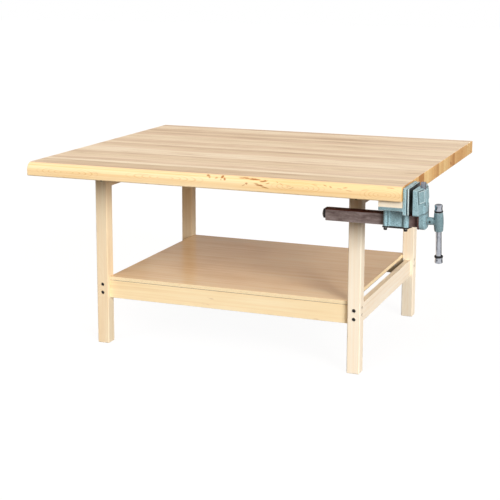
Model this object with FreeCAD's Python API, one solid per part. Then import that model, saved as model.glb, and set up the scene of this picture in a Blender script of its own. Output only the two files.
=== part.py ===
"""Maple workbench with a cast woodworker's vise under its right-hand front corner.

Millimetres. +X along the top towards the vise, +Y from the front edge to the rear edge, +Z up.
The origin is the middle of the whole object's footprint, on the floor.
"""
import FreeCAD, Part
import math
import os

os.makedirs("parts", exist_ok=True)
Vec = FreeCAD.Vector
AXIS_X = Vec(1, 0, 0)
AXIS_Y = Vec(0, 1, 0)
AXIS_Z = Vec(0, 0, 1)

# ------------------------------------------------------------------ the top
TOP_LENGTH = 1625.6
TOP_DEPTH = 1371.6
TOP_THICKNESS = 57.15
BENCH_HEIGHT = 825.5
TOP_UPPER_ROUND = 32.0
TOP_LOWER_ROUND = 5.0
TOP_EDGE_EASE = 2.5                  # the rear edge and both ends

# ------------------------------------------------------------------ legs
LEG_SIZE = 54.0
LEG_CHAMFER = 3.0
FOOT_CHAMFER = 2.0
END_OVERHANG = 212.0
EDGE_OVERHANG = 207.0

# ------------------------------------------------------------------ rails and shelf
LONG_RAIL_THICKNESS = 25.4
LONG_RAIL_HEIGHT = 78.0
LONG_RAIL_SETBACK = 19.0
LONG_RAIL_BOTTOM = 205.0
END_RAIL_THICKNESS = 25.4
END_RAIL_HEIGHT = 78.0
END_RAIL_DROP = 6.0                  # below the long rails, clear of the shelf
UPPER_RAIL_HEIGHT = 73.0
RAIL_EASE = 1.5
SHELF_THICKNESS = 18.0
SHELF_END_CLEARANCE = 0.5
SHELF_EASE = 1.0
CLEAT_SIZE = 19.0
CLEAT_END_INSET = 74.0

# ------------------------------------------------------------------ frame fasteners
BOLT_RADIUS = 4.0
BOLT_HEAD_FLATS = 13.0
BOLT_HEAD_HEIGHT = 5.3
BOLT_HOLE_CLEARANCE = 0.25
BOLT_TIP_PAST_NUT = 3.0
THREAD_CLEARANCE = 0.05
WASHER_RADIUS = 8.0
WASHER_THICKNESS = 1.6
WASHER_SEAT_CLEARANCE = 0.3
COUNTERBORE_DEPTH = 9.0
BARREL_NUT_RADIUS = 6.0
BARREL_NUT_LENGTH = 18.0
BARREL_NUT_INSET = 40.0
BARREL_NUT_CLEARANCE = 0.05
LONG_BOLT_DROPS = (8.0, 38.0)       # below the long rail's upper edge
END_BOLT_DROPS = (17.0, 53.5)        # below the long rail's upper edge, clear of the long bolts
UPPER_BOLT_DROPS = (12.35, 35.35)    # below the top's underside

LAG_RADIUS = 4.0
LAG_GRIP_IN_TOP = 36.0
LAG_SEAT_DEPTH = 36.0
LAG_SPACING = 320.0
CLEAT_SCREW_RADIUS = 2.1
CLEAT_SCREW_HEAD_RADIUS = 4.2
CLEAT_SCREW_HEAD_HEIGHT = 2.6
CLEAT_SCREW_BITE = 13.0
CLEAT_SCREW_COUNT = 4
CLEAT_SCREW_END_MARGIN = 60.0
CLEAT_SCREW_STAGGER = 40.0

# ------------------------------------------------------------------ vise: jaws
VISE_CENTRE_FROM_FRONT = 107.0
JAW_WIDTH = 178.0
JAW_HEIGHT = 103.5
JAW_TOP_DROP = 6.5
JAW_ABOVE_FLANGE = 75.65
REAR_JAW_THICKNESS = 13.0
PIVOT_GAP = 4.0
PIVOT_PLATE_THICKNESS = 8.0
PIVOT_PLATE_BOTTOM_RISE = 1.5
PIVOT_PLATE_TOP_DROP = 0.5
PIVOT_RIB_RADIUS = 4.5
PIVOT_RIB_CLEARANCE = 0.05
PIVOT_NECK_WIDTH = 5.0
PIVOT_AXIS_DEPTH = 3.2               # behind the rear jaw's face
PIVOT_SOCKET_FLOOR_RISE = 6.5
JAW_OPENING = 13.0
JAW_EDGE_ROUND = 2.0

JAW_END_THICKNESS = 15.0             # at the jaw's upper edge
JAW_FACE_SPREAD = 12.0               # more thickness beside the keel than at the ends
JAW_FACE_TAPER = 9.0                 # more thickness at the lower edge than at the upper
JAW_TOP_SLOPE = 6.5
KEEL_HALF_WIDTH = 22.0
KEEL_PROUD = 6.0
KEEL_BOTTOM_RISE = 31.5
PANEL_END_INSET = 9.0
PANEL_KEEL_INSET = 6.0
PANEL_TOP_INSET = 12.0
PANEL_BOTTOM_RISE = 46.0
PANEL_PROUD = 2.5
BADGE_HALF_WIDTH = 34.0
BADGE_BOTTOM_RISE = 4.0
BADGE_HEIGHT = 25.0
BADGE_PROUD = 1.2

# ------------------------------------------------------------------ vise: boss, bar and screw
BOSS_SETBACK = 14.0
BOSS_THICKNESS = 22.4
BOSS_BESIDE_MOUNT_PLATE = 1.0
BOSS_BELOW_AXIS = 34.0
BOSS_CORNER_ROUND = 27.0
BOSS_SIDE_CHAMFER = 6.0
MOUNT_PLATE_THICKNESS = 6.5
MOUNT_PLATE_BESIDE_BAR = 13.0
MOUNT_PLATE_ABOVE_BAR = 5.5
MOUNT_PLATE_BELOW_BAR = 7.0
MOUNT_PLATE_ROUND = 10.0
MOUNT_SCREW_BESIDE_BAR = 6.5
MOUNT_SCREW_RISE = 12.0
MOUNT_SCREW_BITE = 14.0
BAR_WIDTH = 50.0
BAR_HEIGHT = 46.0
BAR_WALL = 5.0
BAR_CORNER_ROUND = 2.5
BAR_LENGTH = 370.5
JAW_TO_BAR = 9.5
SLIDE_CLEARANCE = 0.3
SCREW_RADIUS = 9.5
SCREW_BELOW_BAR_TOP = 22.0
SCREW_CLEARANCE = 0.05
THRUST_WASHER_THICKNESS = 2.4
THRUST_WASHER_RADIUS = 15.5
COLLAR_RADIUS = 15.0
COLLAR_LENGTH = 8.0
COLLAR_CLEARANCE = 0.3
PIN_RADIUS = 2.0
END_PLATE_THICKNESS = 8.0
END_PLATE_INSET = 0.5
END_PLATE_LIFT = 9.0                 # above the channel's open side
END_SCREW_RADIUS = 1.5
END_SCREW_HEAD_RADIUS = 2.4
END_SCREW_HEAD_HEIGHT = 1.6
END_SCREW_BITE = 10.0
END_SCREW_RISE = 12.0
TAIL_COLLAR_LENGTH = 7.0
TAIL_COLLAR_RADIUS = 14.0

# ------------------------------------------------------------------ vise: fixed casting
FLANGE_LENGTH = 95.0
FLANGE_THICKNESS = 14.0
TUNNEL_WALL = 11.0
TUNNEL_BACK_INSET = 7.4
KEEPER_THICKNESS = 5.0
KEEPER_BESIDE_TUNNEL = 10.7
KEEPER_BACK_REACH = 2.0
BACK_RIB_RADIUS = 9.0
BACK_RIB_SMALL_RADIUS = 5.5
FRONT_RIB_RADIUS = 12.0
FRONT_RIB_Y_SINK = 1.3
KEEPER_BOLT_RADIUS = 4.0
KEEPER_BOLT_HEAD_HEIGHT = 9.0
KEEPER_BOLT_BITE = 22.0
KEEPER_BOLT_INSIDE_WALL = 0.3
LOCK_WASHER_THICKNESS = 2.2
LOCK_WASHER_RADIUS = 7.0
MOUNT_LAG_Y = 66.0
MOUNT_LAG_END_INSET = 23.0
MOUNT_FLAT_BACK_INSET = 18.0
MOUNT_FLAT_HEAD_RADIUS = 8.0
MOUNT_FLAT_HEAD_HEIGHT = 4.5
MOUNT_LAG_BITE = 38.0
FACE_SCREW_Y = 40.0
FACE_SCREW_DROP = 24.0
FACE_SCREW_RADIUS = 3.0
FACE_SCREW_HEAD_RADIUS = 6.0
FACE_SCREW_HEAD_HEIGHT = 3.2
FACE_SCREW_BITE = 45.0
NUT_BLOCK_LENGTH = 40.0
NUT_BLOCK_BACK_INSET = 22.0
NUT_BLOCK_SIDE_CLEARANCE = 1.0
NUT_BLOCK_TOP_CLEARANCE = 4.0
NUT_SCREW_RADIUS = 2.5
NUT_SCREW_HEAD_RADIUS = 4.5
NUT_SCREW_HEAD_HEIGHT = 3.0
NUT_SCREW_BITE = 11.0
NUT_SCREW_Y = 13.0

# ------------------------------------------------------------------ vise: hub and handle
HUB_REACH = 43.6
HUB_NECK_RADIUS = 16.0
HUB_NECK_TIP_RADIUS = 14.5
BARREL_RADIUS = 19.0
BARREL_END_RADIUS = 16.5
BARREL_HALF_HEIGHT = 38.0
HUB_SCREW_RADIUS = 3.0
HUB_SCREW_LENGTH = 9.0
HUB_SCREW_RECESS = 2.5
HUB_SCREW_OFFSET = 12.0
ROD_RADIUS = 11.1
ROD_CLEARANCE = 0.075
ROD_LENGTH = 224.0
CAP_RADIUS = 15.5
CAP_LENGTH = 23.5
CAP_WALL = 6.0
CAP_EDGE = 3.0
RING_RADIUS = 17.0
RING_HEIGHT = 6.2
RING_EDGE = 2.4
RING_TO_HUB = 0.3
HANDLE_LEAN = 7.5                    # degrees about the screw, the lower end towards the rear

# ------------------------------------------------------------------ vise: dog
DOG_THICKNESS = 17.0
DOG_WIDTH = 24.0
DOG_HEIGHT = 88.0
DOG_RAISED = 15.0
DOG_CORNER_ROUND = 9.0
DOG_CLEARANCE = 0.2
DOG_FROM_JAW_FACE = 11.4
DOG_SLOT_SPARE = 0.5
PLUNGER_RISE = 14.0                  # above the keel's lower end
PLUNGER_RADIUS = 3.0
PLUNGER_BOSS_RADIUS = 6.5
PLUNGER_BOSS_PROUD = 3.0
PLUNGER_SCREW_RECESS = 1.0
FRICTION_PAD_LENGTH = 3.0
FRICTION_PAD_GAP = 0.05

# ------------------------------------------------------------------ places worked out from the sizes
VISE_REACH = (REAR_JAW_THICKNESS + PIVOT_GAP + PIVOT_PLATE_THICKNESS + JAW_OPENING + BOSS_SETBACK
              + BOSS_THICKNESS + THRUST_WASHER_THICKNESS + HUB_REACH + BARREL_RADIUS)
X_LEFT = -(TOP_LENGTH + VISE_REACH) / 2
X_RIGHT = X_LEFT + TOP_LENGTH
Y_FRONT = -TOP_DEPTH / 2
Y_REAR = TOP_DEPTH / 2
Z_UNDER = BENCH_HEIGHT - TOP_THICKNESS

LEG_X = {"left": X_LEFT + END_OVERHANG, "right": X_RIGHT - END_OVERHANG - LEG_SIZE}
LEG_Y = {"front": Y_FRONT + EDGE_OVERHANG, "rear": Y_REAR - EDGE_OVERHANG - LEG_SIZE}
RAIL_Y = {"front": LEG_Y["front"] + LONG_RAIL_SETBACK,
          "rear": LEG_Y["rear"] + LEG_SIZE - LONG_RAIL_SETBACK - LONG_RAIL_THICKNESS}
RAIL_TOP = LONG_RAIL_BOTTOM + LONG_RAIL_HEIGHT
SHELF_TOP = RAIL_TOP + SHELF_THICKNESS
BAY_LEFT = LEG_X["left"] + LEG_SIZE
BAY_RIGHT = LEG_X["right"]
BAY_FRONT = LEG_Y["front"] + LEG_SIZE
BAY_REAR = LEG_Y["rear"]

VISE_Y = Y_FRONT + VISE_CENTRE_FROM_FRONT
JAW_TOP = BENCH_HEIGHT - JAW_TOP_DROP
JAW_BOTTOM = JAW_TOP - JAW_HEIGHT
FLANGE_TOP = JAW_TOP - JAW_ABOVE_FLANGE
FLANGE_BOTTOM = FLANGE_TOP - FLANGE_THICKNESS
BAR_TOP = JAW_BOTTOM - JAW_TO_BAR
BAR_BOTTOM = BAR_TOP - BAR_HEIGHT
SCREW_Z = BAR_TOP - SCREW_BELOW_BAR_TOP
KEEPER_TOP = BAR_BOTTOM - SLIDE_CLEARANCE
KEEPER_BOTTOM = KEEPER_TOP - KEEPER_THICKNESS

REAR_JAW_FACE = X_RIGHT + REAR_JAW_THICKNESS
PIVOT_X = REAR_JAW_FACE - PIVOT_AXIS_DEPTH
PLATE_BACK = REAR_JAW_FACE + PIVOT_GAP
PLATE_FACE = PLATE_BACK + PIVOT_PLATE_THICKNESS
JAW_BACK = PLATE_FACE + JAW_OPENING
BOSS_BACK = JAW_BACK + BOSS_SETBACK
BOSS_FRONT = BOSS_BACK + BOSS_THICKNESS
MOUNT_BACK = BOSS_BACK - MOUNT_PLATE_THICKNESS
BAR_START = MOUNT_BACK - BAR_LENGTH
HUB_BACK = BOSS_FRONT + THRUST_WASHER_THICKNESS
BARREL_X = HUB_BACK + HUB_REACH
FLANGE_BACK = X_RIGHT - FLANGE_LENGTH
TUNNEL_BACK = FLANGE_BACK + TUNNEL_BACK_INSET
TUNNEL_INNER = BAR_WIDTH / 2 + SLIDE_CLEARANCE
TUNNEL_OUTER = TUNNEL_INNER + TUNNEL_WALL
KEEPER_HALF_WIDTH = TUNNEL_OUTER + KEEPER_BESIDE_TUNNEL
KEEPER_BOLT_Y = TUNNEL_OUTER - KEEPER_BOLT_INSIDE_WALL
MOUNT_SCREW_Y = BAR_WIDTH / 2 + MOUNT_SCREW_BESIDE_BAR
MOUNT_PLATE_HALF_WIDTH = BAR_WIDTH / 2 + MOUNT_PLATE_BESIDE_BAR
BOSS_HALF_WIDTH = MOUNT_PLATE_HALF_WIDTH + BOSS_BESIDE_MOUNT_PLATE
BACK_RIB_X = TUNNEL_BACK + BACK_RIB_RADIUS
BACK_RIB_SMALL_X = BACK_RIB_X + BACK_RIB_RADIUS + BACK_RIB_SMALL_RADIUS - 1.0
FRONT_RIB_X = REAR_JAW_FACE - FRONT_RIB_RADIUS
KEEPER_BOLT_X = (BACK_RIB_X, FRONT_RIB_X)
DOG_BACK = JAW_BACK + DOG_FROM_JAW_FACE
DOG_TOP = JAW_TOP + DOG_RAISED
DOG_BOTTOM = DOG_TOP - DOG_HEIGHT
KEEL_BOTTOM = JAW_BOTTOM + KEEL_BOTTOM_RISE
PLUNGER_Z = KEEL_BOTTOM + PLUNGER_RISE
TAPER_SLOPE = JAW_FACE_TAPER / JAW_HEIGHT


# ------------------------------------------------------------------ shape helpers
def block(x0, x1, y0, y1, z0, z1):
    """Box between two corners."""
    return Part.makeBox(x1 - x0, y1 - y0, z1 - z0, Vec(x0, y0, z0))


def rod(radius, start, direction, length):
    """Cylinder from a start point along a direction."""
    return Part.makeCylinder(radius, length, Vec(*start), direction)


def tube(outer, inner, start, direction, length):
    """Ring with a bore, from a start point along a direction."""
    return rod(outer, start, direction, length).cut(rod(inner, start, direction, length))


def cone(radius_start, radius_end, start, direction, length):
    """Truncated cone from a start point along a direction."""
    return Part.makeCone(radius_start, radius_end, length, Vec(*start), direction)


def hexagon(flats, start, direction, length):
    """Hexagonal prism from a start point along a direction."""
    side_one = direction.cross(AXIS_Z if abs(direction.z) < 0.5 else AXIS_X)
    side_two = direction.cross(side_one)
    corner = flats / math.sqrt(3)
    points = []
    for step in range(7):
        angle = math.radians(60 * step)
        points.append(Vec(*start) + side_one * (corner * math.cos(angle)) + side_two * (corner * math.sin(angle)))
    return Part.Face(Part.makePolygon(points)).extrude(direction * length)


def prism(points, direction):
    """Polygon pushed along a vector."""
    corners = [Vec(*point) for point in points]
    return Part.Face(Part.makePolygon(corners + corners[:1])).extrude(direction)


def joined(shapes):
    """Shapes fused into one solid, without the seams between flush faces."""
    result = shapes[0]
    for shape in shapes[1:]:
        result = result.fuse(shape)
    return result.removeSplitter()


def carved(shape, cutters):
    """Shape with the cutters taken away."""
    for cutter in cutters:
        shape = shape.cut(cutter)
    return shape


def edges_where(shape, test):
    """Edges whose two ends both pass the test."""
    return [edge for edge in shape.Edges
            if len(edge.Vertexes) == 2 and all(test(vertex.Point) for vertex in edge.Vertexes)]


def edges_along(shape, direction):
    """Straight edges that run along a direction."""
    found = []
    for edge in shape.Edges:
        if len(edge.Vertexes) == 2:
            span = edge.Vertexes[1].Point - edge.Vertexes[0].Point
            if span.Length > 1e-6 and span.cross(direction).Length < 1e-6 * span.Length:
                found.append(edge)
    return found


def eased_block(corners, ease, direction):
    """Box whose four edges along a direction are rounded."""
    body = block(*corners)
    return body.makeFillet(ease, edges_along(body, direction))


def near(value, target):
    """Whether two coordinates are the same place."""
    return abs(value - target) < 0.01


def save(node, shapes):
    """Write one node, a single solid or a group of separate solids."""
    group = shapes if isinstance(shapes, list) else [shapes]
    solids = [solid for shape in group for solid in shape.Solids]
    for solid in solids:
        if not solid.isValid() or solid.Volume <= 0:
            raise ValueError(node + " holds a bad solid")
    whole = solids[0] if len(solids) == 1 else Part.makeCompound(solids)
    whole.exportStep("parts/" + node + ".step")
    print(node, len(solids), round(whole.Volume / 1000, 2))


def hex_bolt(radius, start, direction, shank, flats, head):
    """Hexagon-headed bolt: the head stands behind start, the shank runs ahead of it."""
    back = Vec(*start) - direction * head
    crown = cone(flats * 0.46, flats * 0.62, tuple(back), direction, head * 0.5)
    head_body = hexagon(flats, tuple(back), direction, head)
    head_body = head_body.common(joined([crown, rod(flats * 0.62, tuple(back + direction * head * 0.5),
                                                     direction, head * 0.5)]))
    tip = radius * 0.25
    shaft = rod(radius, start, direction, shank - tip)
    end = Vec(*start) + direction * (shank - tip)
    return joined([head_body, shaft, cone(radius, radius - tip, tuple(end), direction, tip)])


def flat_screw(radius, start, direction, length, head_radius, head_height):
    """Countersunk screw: its flat head starts at start, and the shank runs to length."""
    inner = Vec(*start) + direction * head_height
    tip_start = Vec(*start) + direction * (length - radius)
    return joined([cone(head_radius, radius, start, direction, head_height),
                   rod(radius, tuple(inner), direction, length - head_height - radius),
                   cone(radius, radius * 0.3, tuple(tip_start), direction, radius)])


# ------------------------------------------------------------------ frame fastener places
def end_frame_joints():
    """Place and direction of each bolt that runs along Y through a leg into an end rail."""
    heights = [RAIL_TOP - drop for drop in END_BOLT_DROPS] + [Z_UNDER - drop for drop in UPPER_BOLT_DROPS]
    places = []
    for side in ("left", "right"):
        centre = LEG_X[side] + LEG_SIZE / 2
        for height in heights:
            places.append((Vec(centre, LEG_Y["front"], height), AXIS_Y, "front", side))
            places.append((Vec(centre, LEG_Y["rear"] + LEG_SIZE, height), -AXIS_Y, "rear", side))
    return places


def long_rail_joints():
    """Place and direction of each bolt that runs along X through a leg into a long rail."""
    places = []
    for end in ("front", "rear"):
        centre = RAIL_Y[end] + LONG_RAIL_THICKNESS / 2
        for drop in LONG_BOLT_DROPS:
            height = RAIL_TOP - drop
            places.append((Vec(LEG_X["left"], centre, height), AXIS_X, end, "left"))
            places.append((Vec(LEG_X["right"] + LEG_SIZE, centre, height), -AXIS_X, end, "right"))
    return places


def nut_direction(end, side, along):
    """Way in which a barrel nut's hole opens: always to the inside of the bench."""
    if abs(along.y) > 0.5:
        return AXIS_X if side == "left" else -AXIS_X
    return AXIS_Y if end == "front" else -AXIS_Y


BOLT_SHANK = (LEG_SIZE - COUNTERBORE_DEPTH - WASHER_THICKNESS + BARREL_NUT_INSET + BARREL_NUT_RADIUS
              + BOLT_TIP_PAST_NUT)


def bolt_cutters(places):
    """Counterbores, shank holes and barrel nut holes for a set of frame bolts."""
    cutters = []
    for start, along, end, side in places:
        seat = WASHER_RADIUS + WASHER_SEAT_CLEARANCE
        cutters.append(rod(seat, tuple(start), along, COUNTERBORE_DEPTH))
        reach = LEG_SIZE + BARREL_NUT_INSET + BARREL_NUT_RADIUS + 2 * BOLT_TIP_PAST_NUT
        cutters.append(rod(BOLT_RADIUS + BOLT_HOLE_CLEARANCE, tuple(start), along, reach))
        across = nut_direction(end, side, along)
        centre = start + along * (LEG_SIZE + BARREL_NUT_INSET)
        back = centre - across * (BARREL_NUT_LENGTH / 2)
        cutters.append(rod(BARREL_NUT_RADIUS + BARREL_NUT_CLEARANCE, tuple(back), across, LEG_SIZE))
    return cutters


def make_frame_fasteners(prefix, places):
    """Bolts, washers and barrel nuts of one set of frame joints."""
    bolts = []
    washers = []
    nuts = []
    for start, along, end, side in places:
        floor = start + along * COUNTERBORE_DEPTH
        seat = floor - along * WASHER_THICKNESS
        bolts.append(hex_bolt(BOLT_RADIUS, tuple(seat), along, BOLT_SHANK + WASHER_THICKNESS,
                              BOLT_HEAD_FLATS, BOLT_HEAD_HEIGHT))
        washers.append(tube(WASHER_RADIUS, BOLT_RADIUS + BOLT_HOLE_CLEARANCE, tuple(seat), along,
                            WASHER_THICKNESS))
        across = nut_direction(end, side, along)
        centre = start + along * (LEG_SIZE + BARREL_NUT_INSET)
        back = centre - across * (BARREL_NUT_LENGTH / 2)
        through = centre - along * (2 * BARREL_NUT_RADIUS)
        nuts.append(rod(BARREL_NUT_RADIUS, tuple(back), across, BARREL_NUT_LENGTH)
                    .cut(rod(BOLT_RADIUS + THREAD_CLEARANCE, tuple(through), along, 4 * BARREL_NUT_RADIUS)))
    save(prefix + "_bolts", bolts)
    save(prefix + "_washers", washers)
    save(prefix + "_nuts", nuts)


def lag_places():
    """X and Y of the screws that hold the top to the upper end rails."""
    middle = (BAY_FRONT + BAY_REAR) / 2
    return [(LEG_X[side] + LEG_SIZE / 2, middle + step * LAG_SPACING)
            for side in ("left", "right") for step in (-1, 0, 1)]


# ------------------------------------------------------------------ vise fastener places
def mounting_lag_places():
    """X and Y of the two hexagon screws under the flange, beside the front column."""
    x = X_RIGHT - MOUNT_LAG_END_INSET
    return [(x, VISE_Y + sign * MOUNT_LAG_Y) for sign in (-1, 1)]


def mounting_flat_places():
    """X and Y of the two countersunk screws at the back of the flange."""
    x = FLANGE_BACK + MOUNT_FLAT_BACK_INSET
    return [(x, VISE_Y + sign * MOUNT_LAG_Y) for sign in (-1, 1)]


def face_screw_places():
    """Y and Z of the screws through the rear jaw."""
    return [(VISE_Y + sign * FACE_SCREW_Y, JAW_TOP - FACE_SCREW_DROP) for sign in (-1, 1)]


def keeper_bolt_places():
    """X and Y of the bolts through the keeper plate."""
    return [(x, VISE_Y + sign * KEEPER_BOLT_Y) for x in KEEPER_BOLT_X for sign in (-1, 1)]


def nut_screw_places():
    """X and Y of the screws that hold the nut block to the keeper plate."""
    x = FLANGE_BACK + NUT_BLOCK_BACK_INSET + NUT_BLOCK_LENGTH / 2
    return [(x, VISE_Y + sign * NUT_SCREW_Y) for sign in (-1, 1)]


def bar_end_screw_places():
    """Y and Z of the screws through the bar's end plate, in the channel's side walls."""
    y = BAR_WIDTH / 2 - BAR_WALL / 2 - 0.2
    middle = (BAR_TOP - END_PLATE_INSET + BAR_BOTTOM + END_PLATE_LIFT) / 2
    return [(VISE_Y + sign * y, middle + rise) for sign in (-1, 1) for rise in (-END_SCREW_RISE, END_SCREW_RISE)]


def mount_screw_places():
    """Y and Z of the screws that hold the bar's mount plate to the boss."""
    middle = (BAR_TOP + BAR_BOTTOM) / 2
    return [(VISE_Y + sign * MOUNT_SCREW_Y, middle + rise)
            for sign in (-1, 1) for rise in (-MOUNT_SCREW_RISE, MOUNT_SCREW_RISE)]


# ------------------------------------------------------------------ bench
def make_top():
    """Glued-up slab: rounded front edge, eased rear edge and ends, pilot holes for its screws."""
    slab = block(X_LEFT, X_RIGHT, Y_FRONT, Y_REAR, Z_UNDER, BENCH_HEIGHT)
    upper = edges_where(slab, lambda p: near(p.z, BENCH_HEIGHT) and near(p.y, Y_FRONT))
    slab = slab.makeFillet(TOP_UPPER_ROUND, upper)
    lower = edges_where(slab, lambda p: near(p.z, Z_UNDER) and near(p.y, Y_FRONT))
    slab = slab.makeFillet(TOP_LOWER_ROUND, lower)
    eased = edges_where(slab, lambda p: near(p.x, X_LEFT)) + edges_where(slab, lambda p: near(p.x, X_RIGHT))
    eased += [edge for edge in edges_along(slab, AXIS_X) if near(edge.CenterOfMass.y, Y_REAR)]
    slab = slab.makeFillet(TOP_EDGE_EASE, eased)
    cutters = [rod(LAG_RADIUS + THREAD_CLEARANCE, (x, y, Z_UNDER), AXIS_Z, LAG_GRIP_IN_TOP + 2)
               for x, y in lag_places()]
    cutters += [rod(LAG_RADIUS + THREAD_CLEARANCE, (x, y, Z_UNDER), AXIS_Z, MOUNT_LAG_BITE + 2)
                for x, y in mounting_lag_places() + mounting_flat_places()]
    cutters += [rod(FACE_SCREW_RADIUS + THREAD_CLEARANCE, (X_RIGHT, y, z), -AXIS_X, FACE_SCREW_BITE + 2)
                for y, z in face_screw_places()]
    save("bench_top", carved(slab, cutters))


def make_legs():
    """Four square legs with chamfered edges, bored for their own bolts."""
    cutters = {}
    for place in end_frame_joints() + long_rail_joints():
        cutters.setdefault((place[2], place[3]), []).append(place)
    for end in ("front", "rear"):
        for side in ("left", "right"):
            x = LEG_X[side]
            y = LEG_Y[end]
            leg = block(x, x + LEG_SIZE, y, y + LEG_SIZE, 0, Z_UNDER)
            leg = leg.makeChamfer(LEG_CHAMFER, edges_along(leg, AXIS_Z))
            foot = edges_where(leg, lambda p: near(p.z, 0))
            leg = leg.makeChamfer(FOOT_CHAMFER, foot)
            save("leg_" + end + "_" + side, carved(leg, bolt_cutters(cutters[(end, side)])))


def make_end_rails():
    """Upper and lower rails of the two end frames."""
    bolts = end_frame_joints()
    for side in ("left", "right"):
        x = LEG_X[side] + (LEG_SIZE - END_RAIL_THICKNESS) / 2
        own = bolt_cutters([place for place in bolts if place[3] == side])
        top = RAIL_TOP - END_RAIL_DROP
        lower = eased_block((x, x + END_RAIL_THICKNESS, BAY_FRONT, BAY_REAR, top - END_RAIL_HEIGHT, top),
                            RAIL_EASE, AXIS_Y)
        save("lower_end_rail_" + side, carved(lower, own))
        upper = eased_block((x, x + END_RAIL_THICKNESS, BAY_FRONT, BAY_REAR, Z_UNDER - UPPER_RAIL_HEIGHT, Z_UNDER),
                            RAIL_EASE, AXIS_Y)
        for lag_x, lag_y in lag_places():
            start = (lag_x, lag_y, Z_UNDER - UPPER_RAIL_HEIGHT)
            own.append(rod(WASHER_RADIUS + WASHER_SEAT_CLEARANCE, start, AXIS_Z, LAG_SEAT_DEPTH))
            own.append(rod(LAG_RADIUS + BOLT_HOLE_CLEARANCE, start, AXIS_Z, UPPER_RAIL_HEIGHT))
        save("upper_end_rail_" + side, carved(upper, own))


def cleat_band(end):
    """Y range of the cleat behind one long rail."""
    if end == "front":
        inner = RAIL_Y[end] + LONG_RAIL_THICKNESS
        return inner, inner + CLEAT_SIZE
    return RAIL_Y[end] - CLEAT_SIZE, RAIL_Y[end]


def cleat_stations(offset):
    """X of the screws along a cleat, moved along by an offset."""
    start = BAY_LEFT + CLEAT_END_INSET + CLEAT_SCREW_END_MARGIN + offset
    stop = BAY_RIGHT - CLEAT_END_INSET - CLEAT_SCREW_END_MARGIN - CLEAT_SCREW_STAGGER + offset
    pitch = (stop - start) / (CLEAT_SCREW_COUNT - 1)
    return [start + pitch * step for step in range(CLEAT_SCREW_COUNT)]


def cleat_screws():
    """Screws from the cleats into the long rails."""
    screws = []
    for end in ("front", "rear"):
        low, high = cleat_band(end)
        start_y, along = (high, -AXIS_Y) if end == "front" else (low, AXIS_Y)
        for x in cleat_stations(0):
            screws.append(flat_screw(CLEAT_SCREW_RADIUS, (x, start_y, RAIL_TOP - CLEAT_SIZE / 2), along,
                                     CLEAT_SIZE + CLEAT_SCREW_BITE, CLEAT_SCREW_HEAD_RADIUS,
                                     CLEAT_SCREW_HEAD_HEIGHT))
    return screws


def shelf_screws():
    """Screws from the cleats up into the shelf."""
    screws = []
    for end in ("front", "rear"):
        low, high = cleat_band(end)
        for x in cleat_stations(CLEAT_SCREW_STAGGER):
            screws.append(flat_screw(CLEAT_SCREW_RADIUS, (x, (low + high) / 2, RAIL_TOP - CLEAT_SIZE), AXIS_Z,
                                     CLEAT_SIZE + CLEAT_SCREW_BITE, CLEAT_SCREW_HEAD_RADIUS,
                                     CLEAT_SCREW_HEAD_HEIGHT))
    return screws


def make_long_rails_and_shelf():
    """Long rails, their cleats, and the shelf that lies on them."""
    bolts = long_rail_joints()
    screws = cleat_screws()
    lifts = shelf_screws()
    for end in ("front", "rear"):
        rail = eased_block((BAY_LEFT, BAY_RIGHT, RAIL_Y[end], RAIL_Y[end] + LONG_RAIL_THICKNESS,
                            LONG_RAIL_BOTTOM, RAIL_TOP), RAIL_EASE, AXIS_X)
        own = bolt_cutters([place for place in bolts if place[2] == end])
        save(end + "_rail", carved(rail, own + screws))
        low, high = cleat_band(end)
        cleat = block(BAY_LEFT + CLEAT_END_INSET, BAY_RIGHT - CLEAT_END_INSET, low, high,
                      RAIL_TOP - CLEAT_SIZE, RAIL_TOP)
        save("shelf_cleat_" + end, carved(cleat, screws + lifts))
    shelf = eased_block((BAY_LEFT + SHELF_END_CLEARANCE, BAY_RIGHT - SHELF_END_CLEARANCE, RAIL_Y["front"],
                         RAIL_Y["rear"] + LONG_RAIL_THICKNESS, RAIL_TOP, SHELF_TOP), SHELF_EASE, AXIS_X)
    save("shelf_panel", carved(shelf, lifts))
    save("cleat_screws", screws)
    save("shelf_screws", lifts)


def make_top_lags():
    """Screws and washers that hold the top down on the upper end rails."""
    seat = Z_UNDER - UPPER_RAIL_HEIGHT + LAG_SEAT_DEPTH
    shank = UPPER_RAIL_HEIGHT - LAG_SEAT_DEPTH + WASHER_THICKNESS + LAG_GRIP_IN_TOP
    lags = []
    washers = []
    for x, y in lag_places():
        start = (x, y, seat - WASHER_THICKNESS)
        lags.append(hex_bolt(LAG_RADIUS, start, AXIS_Z, shank, BOLT_HEAD_FLATS, BOLT_HEAD_HEIGHT))
        washers.append(tube(WASHER_RADIUS, LAG_RADIUS + BOLT_HOLE_CLEARANCE, start, AXIS_Z, WASHER_THICKNESS))
    save("top_lag_screws", lags)
    save("top_lag_washers", washers)


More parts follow.
